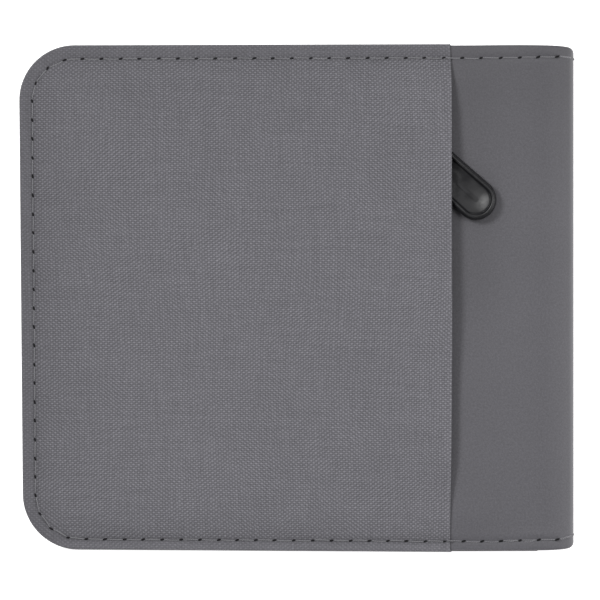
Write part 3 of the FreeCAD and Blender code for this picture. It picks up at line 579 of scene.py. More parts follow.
# ------------------------------------------------------------------ the edge seam
def seam_path():
    """Needle holes of the edge seam, from the spine's top end round the open side to its bottom end."""
    top, low, side = 2.55, 1.96, 2.35
    pts = []
    for x in np.arange(48.6, X0 + CR, -0.1):
        pts.append((x, YT - top + 0.25 * float(ss((x - 38) / 12))))
    for a in np.linspace(90, 180, 60):
        rx, ry = CR - side, CR - top
        pts.append((X0 + CR + rx * math.cos(math.radians(a)), YT - CR + ry * math.sin(math.radians(a))))
    for y in np.arange(YT - CR - 0.1, -(YT - CR), -0.1):
        pts.append((X0 + side, y))
    for a in np.linspace(180, 270, 60):
        rx, ry = CR - side, CR - low
        pts.append((X0 + CR + rx * math.cos(math.radians(a)), -(YT - CR) + ry * math.sin(math.radians(a))))
    for x in np.arange(X0 + CR + 0.1, 48.6, 0.1):
        pts.append((x, -(YT - low) + 0.34 * float(ss((x - 35) / 14))))
    return np.array(pts)


def evenly(path, pitch, jitter=0.10, start=0.0):
    """Points along a path at about one stitch length, a little uneven, with the direction of the seam."""
    path = np.asarray(path, float)
    s = np.concatenate([[0], np.cumsum(np.linalg.norm(np.diff(path, axis=0), axis=1))])
    count = int(round((s[-1] - start) / pitch))
    at = start + (s[-1] - start) * np.arange(count + 1) / count
    at[1:-1] += rng.uniform(-jitter, jitter, len(at) - 2)
    x, y = np.interp(at, s, path[:, 0]), np.interp(at, s, path[:, 1])
    e = 0.4
    dx = np.interp(at + e, s, path[:, 0]) - np.interp(at - e, s, path[:, 0])
    dy = np.interp(at + e, s, path[:, 1]) - np.interp(at - e, s, path[:, 1])
    return np.stack([x, y], -1), np.arctan2(dy, dx)


seam_line = seam_path()
holes, hole_turn = evenly(seam_line, PITCH)


def seam_distance(x, y, line=seam_line):
    """Distance to the edge seam."""
    shape = np.shape(x)
    p = np.stack([np.ravel(x), np.ravel(y)], -1)
    out = np.full(len(p), 99.0)
    near = border(p[:, 0], p[:, 1]) < 5
    q = p[near]
    best = np.full(len(q), 99.0)
    coarse = line[::4]
    for i in range(0, len(q), 4000):
        d = np.hypot(q[i:i + 4000, 0][:, None] - coarse[None, :, 0], q[i:i + 4000, 1][:, None] - coarse[None, :, 1])
        best[i:i + 4000] = d.min(1)
    out[near] = best
    return out.reshape(shape)


def hole_pull(x, y, centres=holes, reach=0.75):
    """1 at a needle hole, falling away around it."""
    shape = np.shape(x)
    p = np.stack([np.ravel(x), np.ravel(y)], -1)
    out = np.zeros(len(p))
    near = border(p[:, 0], p[:, 1]) < 5
    q = p[near]
    value = np.zeros(len(q))
    for i in range(0, len(q), 4000):
        d = np.hypot(q[i:i + 4000, 0][:, None] - centres[None, :, 0], q[i:i + 4000, 1][:, None] - centres[None, :, 1])
        value[i:i + 4000] = np.exp(-(d.min(1) / reach) ** 2)
    out[near] = value
    return out.reshape(shape)


# ------------------------------------------------------------------ the flap
def flap_across(x):
    """How much of the lift has been reached at x: none over the pocket, all at the free edge."""
    return ss((x - (-14.0)) / 38.0)


LIFT_Y = np.array([-47.5, -41.0, -38.7, -36.0, -33.0, -30.0, -26.0, -22.0, -18.0, -14.0, -11.5, -9.0, -5.0, -0.5, 4.0, 10.0,
                   16.0, 22.0, 28.0, 32.0, 36.0, 39.0, 42.0, 44.5, 47.5])
LIFT = np.array([0.0, 0.05, 0.20, 0.60, 1.20, 1.66, 1.84, 1.88, 1.94, 2.12, 2.31, 2.56, 2.85, 2.98, 2.82, 2.72,
                 2.75, 2.85, 2.90, 2.45, 1.98, 1.30, 0.60, 0.08, 0.0])
SLOPE = np.gradient(LIFT, LIFT_Y)


def flap_along(y):
    """Lift of the free edge: it is sewn down at both ends and stands off between them, most over the slider's pull."""
    y = np.asarray(y, float)
    k = np.clip(np.searchsorted(LIFT_Y, y) - 1, 0, len(LIFT_Y) - 2)
    w = LIFT_Y[k + 1] - LIFT_Y[k]
    t = np.clip((y - LIFT_Y[k]) / w, 0, 1)
    a, b = LIFT[k], LIFT[k + 1]
    value = ((2 * t**3 - 3 * t**2 + 1) * a + (t**3 - 2 * t**2 + t) * w * SLOPE[k]
             + (3 * t**2 - 2 * t**3) * b + (t**3 - t**2) * w * SLOPE[k + 1])
    return np.maximum(value, 0)


def over_slider(x, y):
    """The cloth is held up a little more along the zip, and most where the slider's bridge is under it."""
    cx, cy = slider_lo[0] + 3.4, (slider_lo[1] + slider_hi[1]) / 2 + 0.9
    rail = 0.32 * np.exp(-((x - cx) / 6.0) ** 2) * ss((y + 29.0) / 6.0) * ss((cy + 3.0 - y) / 8.0)
    return 1.10 * np.exp(-((x - cx) / 6.0) ** 2 - ((y - cy) / 5.2) ** 2) + rail


def flap_shape(x, y, side):
    along = flap_along(y)
    raised = np.clip(along / 1.5, 0, 1)
    lift = flap_across(x) * along + over_slider(x, y)
    # the cloth is soft: shallow waves, and the free edge curls down a little
    wave = 0.10 * np.sin(x * 0.11 + 0.6) * np.sin(y * 0.09 + 0.4) + 0.06 * np.sin(x * 0.23 + y * 0.17)
    wave = wave * ss(border(x, y) / 12)
    curl = -0.04 * np.exp(-((XF - x) / 1.6) ** 2) * raised
    # puckers where the raised flap is drawn down into the seam
    low, up = np.exp(-((y + 42.6) / 1.5) ** 2), np.exp(-((y - 42.3) / 1.3) ** 2)
    pucker = (0.16 * low * np.sin(x * 1.75 + 0.6) + 0.09 * up * np.sin(x * 1.9)) * ss((x - 6) / 16) * ss((XF - x) / 2.5)
    seam = np.zeros_like(lift)
    if side > 0:
        seam = -0.10 * np.exp(-(seam_distance(x, y) / 0.42) ** 2) - 0.13 * hole_pull(x, y)
        seam = seam + 0.05 * np.exp(-((seam_distance(x, y) - 1.2) / 0.6) ** 2)
    hem = -0.08 * ss((x - (XF - 8.0)) / 0.8) * raised if side < 0 else 0.0
    return lift + wave + curl + seam + hem + pucker


# painted light and shade on the flap, carried in its tone
def flap_painted_light(x, y):
    # painted light: the flap a little lighter to the right and towards the bottom
    t = 1.0 + 0.02 * ((x - X0) / (XF - X0) - 0.5) * 2 - 0.0009 * y
    # painted shade: darker just above the bottom edge, and towards the left side and the top
    t = t * (1 - 0.12 * np.exp(-np.clip(y + YT - 1.9, 0, None) / 3.0))
    t = t * (1 - 0.12 * np.exp(-np.clip(np.minimum(x - X0, YT - y) - 2.3, 0, None) / 9.0))
    # painted shade in the seam's groove and beside it
    t = t * (1 - 0.24 * np.exp(-(seam_distance(x, y) / 0.34) ** 2))
    t = t * (1 - 0.07 * np.exp(-np.abs(seam_distance(x, y)) / 1.6))
    # painted shade on the margin outside the seam, which slopes away
    outside = 1 - ss((border(x, y) - 1.9) / 0.7)
    t = t * (1 - 0.045 * outside)
    # painted highlight on the rounded bottom edge
    t = t * (1 + 0.19 * ss((-YT + 2.1 - y) / 1.4))
    t = t * (1 + 0.16 * np.exp(-((XF - x) / 0.40) ** 2))       # painted highlight along the folded free edge
    return t


seam_rows = np.array([-1.5, -1.1, -0.8, -0.55, -0.35, -0.17, 0, 0.17, 0.35, 0.55, 0.8, 1.1, 1.5])
extra_y = np.concatenate([YT - 2.55 + seam_rows, -(YT - 1.96) + seam_rows])
extra_x = X0 + 2.35 + seam_rows
flap = panel("flap_cloth", X0, XF, -YT, YT, ZF, ZT, cloth_out, (CR, 0, 0, CR), "back", step=0.62, edge=0.42,
             shape=flap_shape, extra_x=extra_x, extra_y=extra_y, tone=flap_painted_light,
             near=(0, 0.03, 0.1, 0.2, 0.34, 0.5, 0.8),
             relief_of=lambda x, y: 1 - 0.45 * (1 - ss((border(x, y) - 1.9) / 0.7)))
outward(flap)
co = np.zeros(len(flap.data.vertices) * 3)
flap.data.vertices.foreach_get("co", co)
co = co.reshape(-1, 3)
# the free edge bows: its sewn ends sit a little further in
ym = co[:, 1] / MM
bow = np.interp(ym, [-47.5, -41, -34, -24, -10, 30, 40, 44, 47.6], [-0.68, -0.64, -0.53, -0.36, -0.27, -0.27, -0.23, -0.34, -0.50])
co[:, 0] += bow * MM * ss((co[:, 0] / MM - 16) / 11)
flap.data.vertices.foreach_set("co", co.ravel())
flap.data.update()
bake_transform(flap)
co = np.array([v.co for v in flap.data.vertices]) / MM
hinge_x = joints["flap_lift"]["pos_m"][0] / MM
weight = ss((co[:, 0] - (hinge_x - 7)) / 14.0) * ss((44.0 - np.abs(co[:, 1])) / 26.0)
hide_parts("back_flap_panel", "flap_lip")


# ------------------------------------------------------------------ stitches
def surface_z(x, y):
    """Height of the back's outer surface where the edge seam runs."""
    x, y = np.asarray(x, float), np.asarray(y, float)
    on_flap = x < XF
    z = np.where(on_flap, ZT + flap_shape(x, y, 1), ZF - 0.10)
    return pinch(x, y, z, "back")


def stitch_parts(centres, turns, heights, radius=0.115, skip=lambda i: False, wobble=0.12, dip=0.22):
    """Thread from each needle hole to the next: it rises out of one, lies on the cloth and goes down the other."""
    parts = []
    for i in range(len(centres) - 1):
        if skip(i):
            continue
        a, b = centres[i], centres[i + 1]
        d = b - a
        length = math.hypot(*d)
        d = d / length
        nrm = np.array([-d[1], d[0]])
        s = np.array([0.10, 0.125, 0.17, 0.32, 0.5, 0.68, 0.83, 0.875, 0.90])
        bend = wobble * rng.uniform(-1, 1) * (1.0 if a[0] < XF else 1.9)
        sway = bend * np.sin(s * math.pi) + 0.10 * (0.5 - s)
        xy = a[None, :] + d[None, :] * (s * length)[:, None] + nrm[None, :] * sway[:, None]
        h0, h1 = heights[i], heights[i + 1]
        lift = np.interp(s, [0.10, 0.125, 0.17, 0.83, 0.875, 0.90], [-dip, -0.02, 0.06, 0.06, -0.02, -dip])
        base = heights_at(xy, h0, h1, s)
        pts = np.concatenate([xy, (base + lift)[:, None]], 1)
        parts.append(tube(pts, radius, 7))
    return parts


def heights_at(xy, h0, h1, s):
    if h0 is None:
        return surface_z(xy[:, 0], xy[:, 1])
    return h0 + (h1 - h0) * s


def hole_parts(centres, turns, z_at, long=0.43, broad=0.20, lift=0.075, lean=0.30):
    """Needle holes as painted shade: small dark slots, each a shallow lens set in the cloth where the hole's shade
    would be.
    """
    parts = []
    for (x, y), turn in zip(centres, turns):
        turn = turn + lean + rng.uniform(-0.15, 0.15)
        c, s = math.cos(turn), math.sin(turn)
        grow = rng.uniform(0.8, 1.2)
        ring = 12
        verts = []
        for scale, up in ((1.0, 0.0), (0.72, 0.016), (0.0, 0.02)):
            if scale == 0:
                verts.append((x, y, up))
                continue
            for k in range(ring):
                a = k * 2 * math.pi / ring
                u, v = long * grow * scale * math.cos(a), broad * scale * math.sin(a)
                verts.append((x + u * c - v * s, y + u * s + v * c, up))
        for k in range(ring):
            a = k * 2 * math.pi / ring
            u, v = long * grow * 0.95 * math.cos(a), broad * 0.9 * math.sin(a)
            verts.append((x + u * c - v * s, y + u * s + v * c, -0.12))
        verts.append((x, y, -0.14))
        verts = np.array(verts)
        verts[:, 2] += z_at(x, y) + lift
        faces = []
        for k in range(ring):
            m = (k + 1) % ring
            faces.append((k, m, ring + m, ring + k))
            faces.append((ring + k, ring + m, 2 * ring))
            faces.append((2 * ring + 1 + m, 2 * ring + 1 + k, 3 * ring + 1))
            faces.append((k, 2 * ring + 1 + k, 2 * ring + 1 + m, m))
        parts.append((verts, faces, verts[:, :2].copy()))
    return parts


none_heights = [None] * len(holes)
parts = stitch_parts(holes, hole_turn, none_heights)
# the seam's end was sewn over twice, so a second thread lies across the first
for j in (-3, -2):
    a, b = holes[j], holes[j - 1]
    q = np.stack([a + (b - a) * 0.12 + (0, 0.30), a + (b - a) * 0.88 + (0, -0.22)])
    parts += stitch_parts(q, [0, 0], [None, None], wobble=0.3)
v, f, u = gather(parts)
edge_thread = outward(build("edge_seam_thread", v, f, thread_grey, u))
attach(edge_thread, "back_half")
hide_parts("back_edge_thread")
# the needle holes' painted shade: dark lenses on the cloth
v, f, u = gather(hole_parts(holes, hole_turn, lambda x, y: float(surface_z(x, y))))
edge_hole_shade = outward(build("edge_seam_hole_shade", v, f, painted_hole_shade, u))
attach(edge_hole_shade, "back_half")


# ------------------------------------------------------------------ the coated skin round the spine
DEPTH = 6.6
MIDZ = ZF / 2


def skin_profile(outer, x_start):
    """The skin's cross-section from the face to the middle of the spine, offset inwards by 0 or its thickness."""
    xc = X1 - DEPTH
    pts = []
    flat = np.concatenate([[x_start, x_start + 0.05, x_start + 0.2, x_start + 0.5, x_start + 1.0], np.arange(x_start + 2.2, xc - 0.8, 1.6)])
    for x in flat:
        pts.append((x, ZF - outer))
    a_, b_, p_ = DEPTH - outer, MIDZ - outer, 2.9
    for q in np.linspace(90, 0, 30):
        c, s = math.cos(math.radians(q)), math.sin(math.radians(q))
        pts.append((xc + a_ * c ** (2 / p_), MIDZ + b_ * s ** (2 / p_)))
    return np.array(pts)


def dip_at(x):
    """The top and bottom edges draw in a little towards the spine."""
    u = np.clip(X1 - x, 0, 50)
    return 0.45 * np.exp(-u / 2.6) + 0.50 * np.exp(-u / 0.30)


def skin(name, x_start, mirror, dents):
    outer, inner = skin_profile(0.0, x_start), skin_profile(0.8, x_start)
    path = np.concatenate([[0], np.cumsum(np.linalg.norm(np.diff(outer, axis=0), axis=1))])
    rows = np.concatenate([[0, 0.03, 0.1, 0.2, 0.34, 0.5, 0.8], np.arange(1.2, 3.6, 0.17), [4.2, 5.0, 6.0]])
    mid = np.linspace(7.2, 2 * YT - 7.2, 56)
    vs = np.concatenate([rows, mid, 2 * YT - rows[::-1]]) - YT
    # fine columns where the seam crosses the skin
    n, m = len(outer), len(vs)
    half_len = YT - 0.22 + 0.07 * ss((outer[:, 0] - 30) / 12) - dip_at(outer[:, 0])
    Y = np.clip(vs[None, :], -YT, YT) * np.ones((n, 1))
    upper = (half_len[:, None] + 0.05 * np.sign(Y)) / YT
    Y = Y * upper
    D = upper * YT - np.abs(Y)
    D = np.minimum(D, (path[:, None] + np.zeros((1, m))))
    q = 1 - np.clip(D / 0.45, 0, 1)
    h = np.sqrt(np.maximum(1 - q * q, 0))
    middle = (outer + inner) / 2
    outp = middle[:, None, :] + (outer - middle)[:, None, :] * h[:, :, None]
    inp = middle[:, None, :] + (inner - middle)[:, None, :] * h[:, :, None]
    top = np.stack([outp[..., 0], Y, outp[..., 1]], -1)
    low = np.stack([inp[..., 0], Y, inp[..., 1]], -1)
    sd = np.full(Y.shape, 99.0)
    tone = np.ones(Y.shape)
    if dents:
        flat_x = top[..., 0]
        sd = seam_distance(flat_x, Y)
        fade = 1 - ss((flat_x - 47.5) / 2)
        top[..., 2] += (-0.10 * np.exp(-(sd / 0.42) ** 2) - 0.10 * hole_pull(flat_x, Y, reach=0.6)
                        + 0.04 * np.exp(-((sd - 1.2) / 0.6) ** 2)) * fade * h
        top[..., 2] += 0.05 * np.sin(Y * 0.13 + 1.0) * np.sin(flat_x * 0.3) * ss((YT - np.abs(Y)) / 9) * (1 - ss((flat_x - 42) / 5))
        # painted shade in the seam's groove, along the top and bottom edges and towards the spine
        tone = tone * (1 - 0.10 * np.exp(-(sd / 0.3) ** 2))
        tone = tone * (1 - 0.02 * (1 - ss((YT - np.abs(Y) - 1.5) / 0.8)))
        tone = tone * (1 - 0.025 * ss((flat_x - 42) / 5))
        # painted shade towards the top, and a painted highlight on the rounded bottom edge
        tone = tone * (1 - 0.075 * ss((Y - 29) / 13)) * (1 + 0.16 * ss((-YT + 1.1 - Y) / 1.0))
        # painted shade beside the flap, strongest towards the top; away from the flap, a little darker towards the top
        near_flap = 1 - ss((flat_x - 33) / 8)
        tone = tone * (1 - 0.165 * ss((Y + 12) / 20) * near_flap - (0.04 * ss((Y + 6) / 16) + 0.075 * ss((Y - 16) / 16)) * (1 - near_flap))
    if mirror:
        top[..., 2] = ZF - top[..., 2]
        low[..., 2] = ZF - low[..., 2]
    for layer in (top, low):
        layer[..., 2] = np.where(layer[..., 0] < 46, pinch(layer[..., 0], layer[..., 1], layer[..., 2], "front" if mirror else "back"), layer[..., 2])
    index = np.arange(n * m).reshape(n, m)
    verts = np.concatenate([top.reshape(-1, 3), low.reshape(-1, 3)])
    other = index + n * m
    faces = []
    for grid, flip in ((index, False), (other, True)):
        a, b, c, d = grid[:-1, :-1], grid[:-1, 1:], grid[1:, 1:], grid[1:, :-1]
        order = [a, d, c, b] if flip else [a, b, c, d]
        faces.append(np.stack(order, -1).reshape(-1, 4))
    rim = [np.stack([index[:-1, 0], index[1:, 0], other[1:, 0], other[:-1, 0]], -1),
           np.stack([index[:-1, -1], index[1:, -1], other[1:, -1], other[:-1, -1]], -1),
           np.stack([index[0, :-1], index[0, 1:], other[0, 1:], other[0, :-1]], -1),
           np.stack([index[-1, :-1], index[-1, 1:], other[-1, 1:], other[-1, :-1]], -1)]
    faces = np.concatenate(faces + rim)
    along = np.repeat(path[:, None], m, 1)
    uv = np.stack([along, Y], -1).reshape(-1, 2)
    obj = build(name, verts, faces, coated_out, np.concatenate([uv, uv]), np.concatenate([tone.reshape(-1)] * 2))
    bm = bmesh.new()
    bm.from_mesh(obj.data)
    bmesh.ops.remove_doubles(bm, verts=bm.verts, dist=1e-6)
    bmesh.ops.recalc_face_normals(bm, faces=bm.faces)
    bm.to_mesh(obj.data)
    bm.free()
    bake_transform(obj)
    return obj


skin_back = skin("coated_skin_back", smooth_lo[0], False, True)
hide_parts("back_smooth_panel", "spine_panel")
skin_front = skin("coated_skin_front", 40.0, True, False)


def spine_thread(name, y_sign, margin, rise):
    """The last of the edge seam, over the spine: thread that follows the skin to the middle of the spine."""
    outer = skin_profile(0.0, 30.0)
    keep = outer[outer[:, 0] > 48.4]
    s = np.concatenate([[0], np.cumsum(np.linalg.norm(np.diff(keep, axis=0), axis=1))])
    at = np.arange(0, s[-1], 0.22)
    x, z = np.interp(at, s, keep[:, 0]), np.interp(at, s, keep[:, 1])
    nx = np.gradient(z)
    nz = -np.gradient(x)
    ln = np.hypot(nx, nz) + 1e-9
    phase = (at / PITCH) % 1.0
    lift = np.where((phase < 0.12) | (phase > 0.88), -0.16, 0.05)
    px, pz = x - nx / ln * lift, z - nz / ln * lift
    inset = margin + rise * ss((x - 48.4) / 3.2) + 0.4 * dip_at(x)
    pts = np.stack([px, y_sign * (YT - inset), pz], -1)
    v, f, u = tube(pts, 0.15, 7)
    obj = outward(build(name, v, f, thread_grey, u))
    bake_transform(obj)
    return obj


spine_thread("spine_seam_top", 1, 2.20, 0.15)
spine_thread("spine_seam_bottom", -1, 2.22, 0.55)


# ------------------------------------------------------------------ turned edges
def turned_edge(name, path, z_top, z_low, body, half, material, inward, out=0.0):
    """A strip of cloth turned over the layers' edge: a hooked section swept along the outline."""
    path = np.asarray(path, float)
    t = np.gradient(path, axis=0)
    t /= np.linalg.norm(t, axis=1)[:, None] + 1e-12
    nrm = np.stack([t[:, 1], -t[:, 0]], -1) * inward     # outward across the edge
    h = z_top - z_low
    section = [(-0.35, z_top - 0.02), (-0.12, z_top), (0.03, z_top - 0.10), (0.07, z_top - 0.3), (0.08, z_top - 0.5 * h),
               (0.06, z_low + 0.35), (0.0, z_low + 0.14), (-0.16, z_low + 0.02), (-0.5, z_low - 0.02), (-1.6, z_low - 0.02),
               (-1.62, z_low + 0.16), (-0.55, z_low + 0.2), (-0.33, z_low + 0.42), (-0.28, z_low + 0.5 * h),
               (-0.30, z_top - 0.35), (-0.36, z_top - 0.2)]
    section = np.array(section) + (out, 0.0)
    n, m = len(path), len(section)
    verts = np.zeros((n, m, 3))
    verts[..., 0] = path[:, None, 0] + nrm[:, None, 0] * section[None, :, 0]
    verts[..., 1] = path[:, None, 1] + nrm[:, None, 1] * section[None, :, 0]
    verts[..., 2] = section[None, :, 1]
    verts[..., 2] = pinch(verts[..., 0], verts[..., 1], verts[..., 2], half)
    s = np.concatenate([[0], np.cumsum(np.linalg.norm(np.diff(path, axis=0), axis=1))])
    round_ = np.concatenate([[0], np.cumsum(np.linalg.norm(np.diff(section, axis=0), axis=1))])
    uv = np.stack(np.meshgrid(s, round_, indexing="ij"), -1).reshape(-1, 2)
    faces = []
    for i in range(n - 1):
        for k in range(m):
            l = (k + 1) % m
            faces.append((i * m + k, i * m + l, (i + 1) * m + l, (i + 1) * m + k))
    faces.append(tuple(reversed(range(m))))
    faces.append(tuple((n - 1) * m + k for k in range(m)))
    obj = outward(build(name, verts.reshape(-1, 3), faces, material, uv))
    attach(obj, body)
    return obj


def outline(x_end, step=1.1):
    """The wallet's outline from its top edge round the open side to its bottom edge."""
    pts = [(x, YT) for x in np.arange(x_end, X0 + CR, -step)]
    pts += [(X0 + CR + CR * math.cos(a), YT - CR + CR * math.sin(a)) for a in np.linspace(math.pi / 2, math.pi, 28)]
    pts += [(X0, y) for y in np.arange(YT - CR - step, -(YT - CR), -step)]
    pts += [(X0 + CR + CR * math.cos(a), -(YT - CR) + CR * math.sin(a)) for a in np.linspace(math.pi, 1.5 * math.pi, 28)]
    pts += [(x, -YT) for x in np.arange(X0 + CR + step, x_end, step)] + [(x_end, -YT)]
    return np.array(pts)


z_lining = mm("back_bill_lining")[0][2]
turned_edge("back_turned_edge", outline(XF - 0.4), ZT - 0.42, z_lining, "back_half", "back", cloth_edge, 1)
for name, side in (("back_coated_edge_top", 1), ("back_coated_edge_bottom", -1)):
    xs = np.arange(XF - 0.6, 48.4, 0.8)
    line = np.stack([xs, side * (YT - 0.22 + 0.07 * ss((xs - 30) / 12) - dip_at(xs) - 0.55 * ss((xs - 43.5) / 4.6))], -1)
    turned_edge(name, line, ZF - 0.42, z_lining, "back_half", "back", coated_out, -1 if side > 0 else 1, out=-0.10)


def soft_plate(name, node, material, body, half, radii=(0, 0, 0, 0), inset=(0, 0, 0, 0), step=2.5, shape=None,
               extra_x=(), extra_y=(), tone=None, lower=0.0, upper=0.0):
    lo, hi = mm(node)
    obj = panel(name, lo[0] + inset[0], hi[0] - inset[1], lo[1] + inset[2], hi[1] - inset[3], lo[2] + lower, hi[2] - upper,
                material, radii, half, step, shape=shape, extra_x=extra_x, extra_y=extra_y, tone=tone)
    outward(obj)
    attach(obj, body)
    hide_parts(node)
    width, length = hi[0] - inset[1] - lo[0] - inset[0], hi[1] - inset[3] - lo[1] - inset[2]
    min(width, length) >= 10.0
    return obj


def waves(depth, a, b, c=0.0):
    return lambda x, y, side: depth * np.sin(x * a + c) * np.sin(y * b + 1.3 * c) * ss(border(x, y) / 10)


# the cover under the wallet, drawn as a plain panel with rolled edges; the real margin is turned up round the lining
cover = panel("front_cover", X0, 40.4, -YT, YT, 0.0, cover_hi[2], cloth_out, (CR, 0, 0, CR), "front", step=1.5, edge=0.5,
              shape=None)
outward(cover)
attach(cover, "front_half")
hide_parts("front_cover_panel")
for skin_obj, x_start in ((skin_back, smooth_lo[0]), (skin_front, 40.0)):
    line = skin_profile(0.0, x_start)
soft_plate("front_note_lining", "front_bill_lining", cloth_lining, "front_half", "front", (CR - 0.4, 0, 0, CR - 0.4), (0.4, 0.3, 0.4, 0.4))
soft_plate("front_allowance_side", "front_hem_side", cloth_lining, "front_half", "front", (0.6,) * 4, (0.7, 0, 0, 0))
soft_plate("front_allowance_bottom", "front_hem_bottom", cloth_lining, "front_half", "front", (4.0, 0.5, 0.5, 0.5), (0.5, 0.5, 0.7, 0))
soft_plate("back_note_lining", "back_bill_lining", cloth_lining, "back_half", "back", (CR - 0.5, 0, 0, CR - 0.5), (0.5, 0.3, 0.5, 0.5))
soft_plate("coin_inner_wall", "coin_pocket_inner_wall", cloth_lining, "back_half", "back", (CR - 0.5, 0, 0, CR - 0.5), (0.5, 0.3, 0.5, 0.5))
soft_plate("coin_outer_wall", "coin_pocket_outer_wall", cloth_lining, "back_half", "back", (CR - 0.5, 0, 0, CR - 0.5), (0.5, 0, 0.5, 0.5), upper=0.12, lower=0.42)
soft_plate("back_allowance_side", "back_hem_side", cloth_lining, "back_half", "back", (0.6,) * 4, (0.7, 0, 0, 0))
soft_plate("back_allowance_bottom", "back_hem_bottom", cloth_lining, "back_half", "back", (4.0, 0.5, 0.5, 0.5), (0.5, 0.5, 0.7, 0))
soft_plate("coin_allowance_side", "coin_hem_side", cloth_lining, "back_half", "back", (0.6,) * 4, (0.7, 0, 0, 0))
soft_plate("coin_allowance_bottom", "coin_hem_bottom", cloth_lining, "back_half", "back", (4.0, 0.5, 0.5, 0.5), (0.5, 0, 0.7, 0))
soft_plate("coin_allowance_top", "coin_hem_top", cloth_lining, "back_half", "back", (0.5, 0.5, 0.5, 4.0), (0.5, 0, 0, 0.7))
soft_plate("coin_allowance_spine", "coin_hem_spine", cloth_lining, "back_half", "back", (0.5,) * 4, (0, 0.4, 0.7, 0.7))


def hem_ridge(mouth, sign, wide=3.2, tall=0.10):
    """A turned hem along a pocket's mouth: a slightly thicker band that ends in a crease."""
    def shape(x, y, side):
        if side != sign:
            return np.zeros_like(x)
        t = mouth - y
        band = ss((wide + 0.25 - t) / 0.5)
        crease = -0.07 * np.exp(-((t - 2.3) / 0.28) ** 2)
        return sign * (tall * band + crease)
    return shape


def hem_rows(mouth):
    return mouth - np.array([1.9, 2.1, 2.3, 2.5, 2.7, 3.0, 3.2, 3.4, 3.6])


# painted shade in the hem's crease and a painted highlight along the folded mouth
def hem_crease_shade_and_highlight(mouth):
    return lambda x, y: 1 - 0.12 * np.exp(-((mouth - y - 2.3) / 0.25) ** 2) + 0.05 * np.exp(-((mouth - y) / 0.3) ** 2)


inner_radii = (CR, 0.6, 0.6, 8.0)
for half, sign in (("front", 1), ("back", -1)):
    body = half + "_half"
    soft_plate(half + "_inner_cloth", half + "_inner_panel", cloth_pocket, body, half, inner_radii,
               step=1.6, shape=hem_ridge(mm(half + "_inner_panel")[1][1], sign), extra_y=hem_rows(mm(half + "_inner_panel")[1][1]),
               tone=hem_crease_shade_and_highlight(mm(half + "_inner_panel")[1][1]))
    for k in (1, 2, 3):
        node = "%s_card_pocket_%d" % (half, k)
        if node not in frame["nodes"]:
            continue
        mouth = mm(node)[1][1]
        soft_plate("%s_pocket_%d" % (half, k), node, cloth_pocket, body, half, (3.0, 3.0, 0.4, 0.4), step=1.6,
                   shape=hem_ridge(mouth, sign), extra_y=hem_rows(mouth), tone=hem_crease_shade_and_highlight(mouth))


# ------------------------------------------------------------------ window pocket
def window_frame():
    lo, hi = mm("id_window_frame")
    film_lo, film_hi = mm("id_window_film")
    hx0, hx1, hy0, hy1 = film_lo[0] + 2, film_hi[0] - 2, film_lo[1] + 2, film_hi[1] - 2
    def resample(x0, x1, y0, y1, r, n=220):
        pts = []
        for cx, cy, a0 in ((x1 - r, y0 + r, -90), (x1 - r, y1 - r, 0), (x0 + r, y1 - r, 90), (x0 + r, y0 + r, 180)):
            side = []
            for a in np.linspace(a0, a0 + 90, 9):
                side.append((cx + r * math.cos(math.radians(a)), cy + r * math.sin(math.radians(a))))
            pts.append(side)
        out = []
        for k in range(4):
            out += pts[k]
            a, b = np.array(pts[k][-1]), np.array(pts[(k + 1) % 4][0])
            steps = 44 if k in (1, 3) else 22
            out += [tuple(a + (b - a) * i / steps) for i in range(1, steps)]
        return np.array(out)
    A = resample(lo[0], hi[0], lo[1], hi[1], 2.0)
    B = resample(hx0, hx1, hy0, hy1, 1.5)
    w = np.array([0, 0.02, 0.06, 0.14, 0.3, 0.5, 0.7, 0.86, 0.94, 0.98, 1.0])
    gap = np.hypot(*(B - A).T)
    z0, z1 = lo[2], lo[2] + 0.34
    verts_top, verts_low = [], []
    for t in w:
        p = A + (B - A) * t
        d = np.minimum(t, 1 - t) * gap
        q = 1 - np.clip(d / 0.3, 0, 1)
        h = np.sqrt(np.maximum(1 - q * q, 0))
        zt = (z0 + z1) / 2 + 0.17 * h
        zl = (z0 + z1) / 2 - 0.17 * h
        crease = 0.06 * np.exp(-(((1 - t) * gap - 1.3) / 0.3) ** 2)
        verts_top.append(np.stack([p[:, 0], p[:, 1], zt], -1))
        verts_low.append(np.stack([p[:, 0], p[:, 1], zl + crease], -1))
    n, m = len(w), len(A)
    verts = np.concatenate(verts_top + verts_low)
    faces = []
    for layer, flip in ((0, False), (n * m, True)):
        for i in range(n - 1):
            for k in range(m):
                l = (k + 1) % m
                face = (layer + i * m + k, layer + i * m + l, layer + (i + 1) * m + l, layer + (i + 1) * m + k)
                faces.append(tuple(reversed(face)) if flip else face)
    verts[:, 2] = pinch(verts[:, 0], verts[:, 1], verts[:, 2], "back")
    obj = build("window_frame_cloth", verts, faces, cloth_pocket)
    bm = bmesh.new()
    bm.from_mesh(obj.data)
    bmesh.ops.remove_doubles(bm, verts=bm.verts, dist=2e-6)
    bmesh.ops.recalc_face_normals(bm, faces=bm.faces)
    bm.to_mesh(obj.data)
    bm.free()
    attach(obj, "back_half")
    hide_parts("id_window_frame")
    return (hx0, hx1, hy0, hy1, z0)


hole_box = window_frame()
film = soft_plate("window_film_sheet", "id_window_film", film_clear, "back_half", "back", (1.0,) * 4, step=4.0,
                  shape=waves(0.02, 0.12, 0.2), lower=-0.05, upper=0.10)


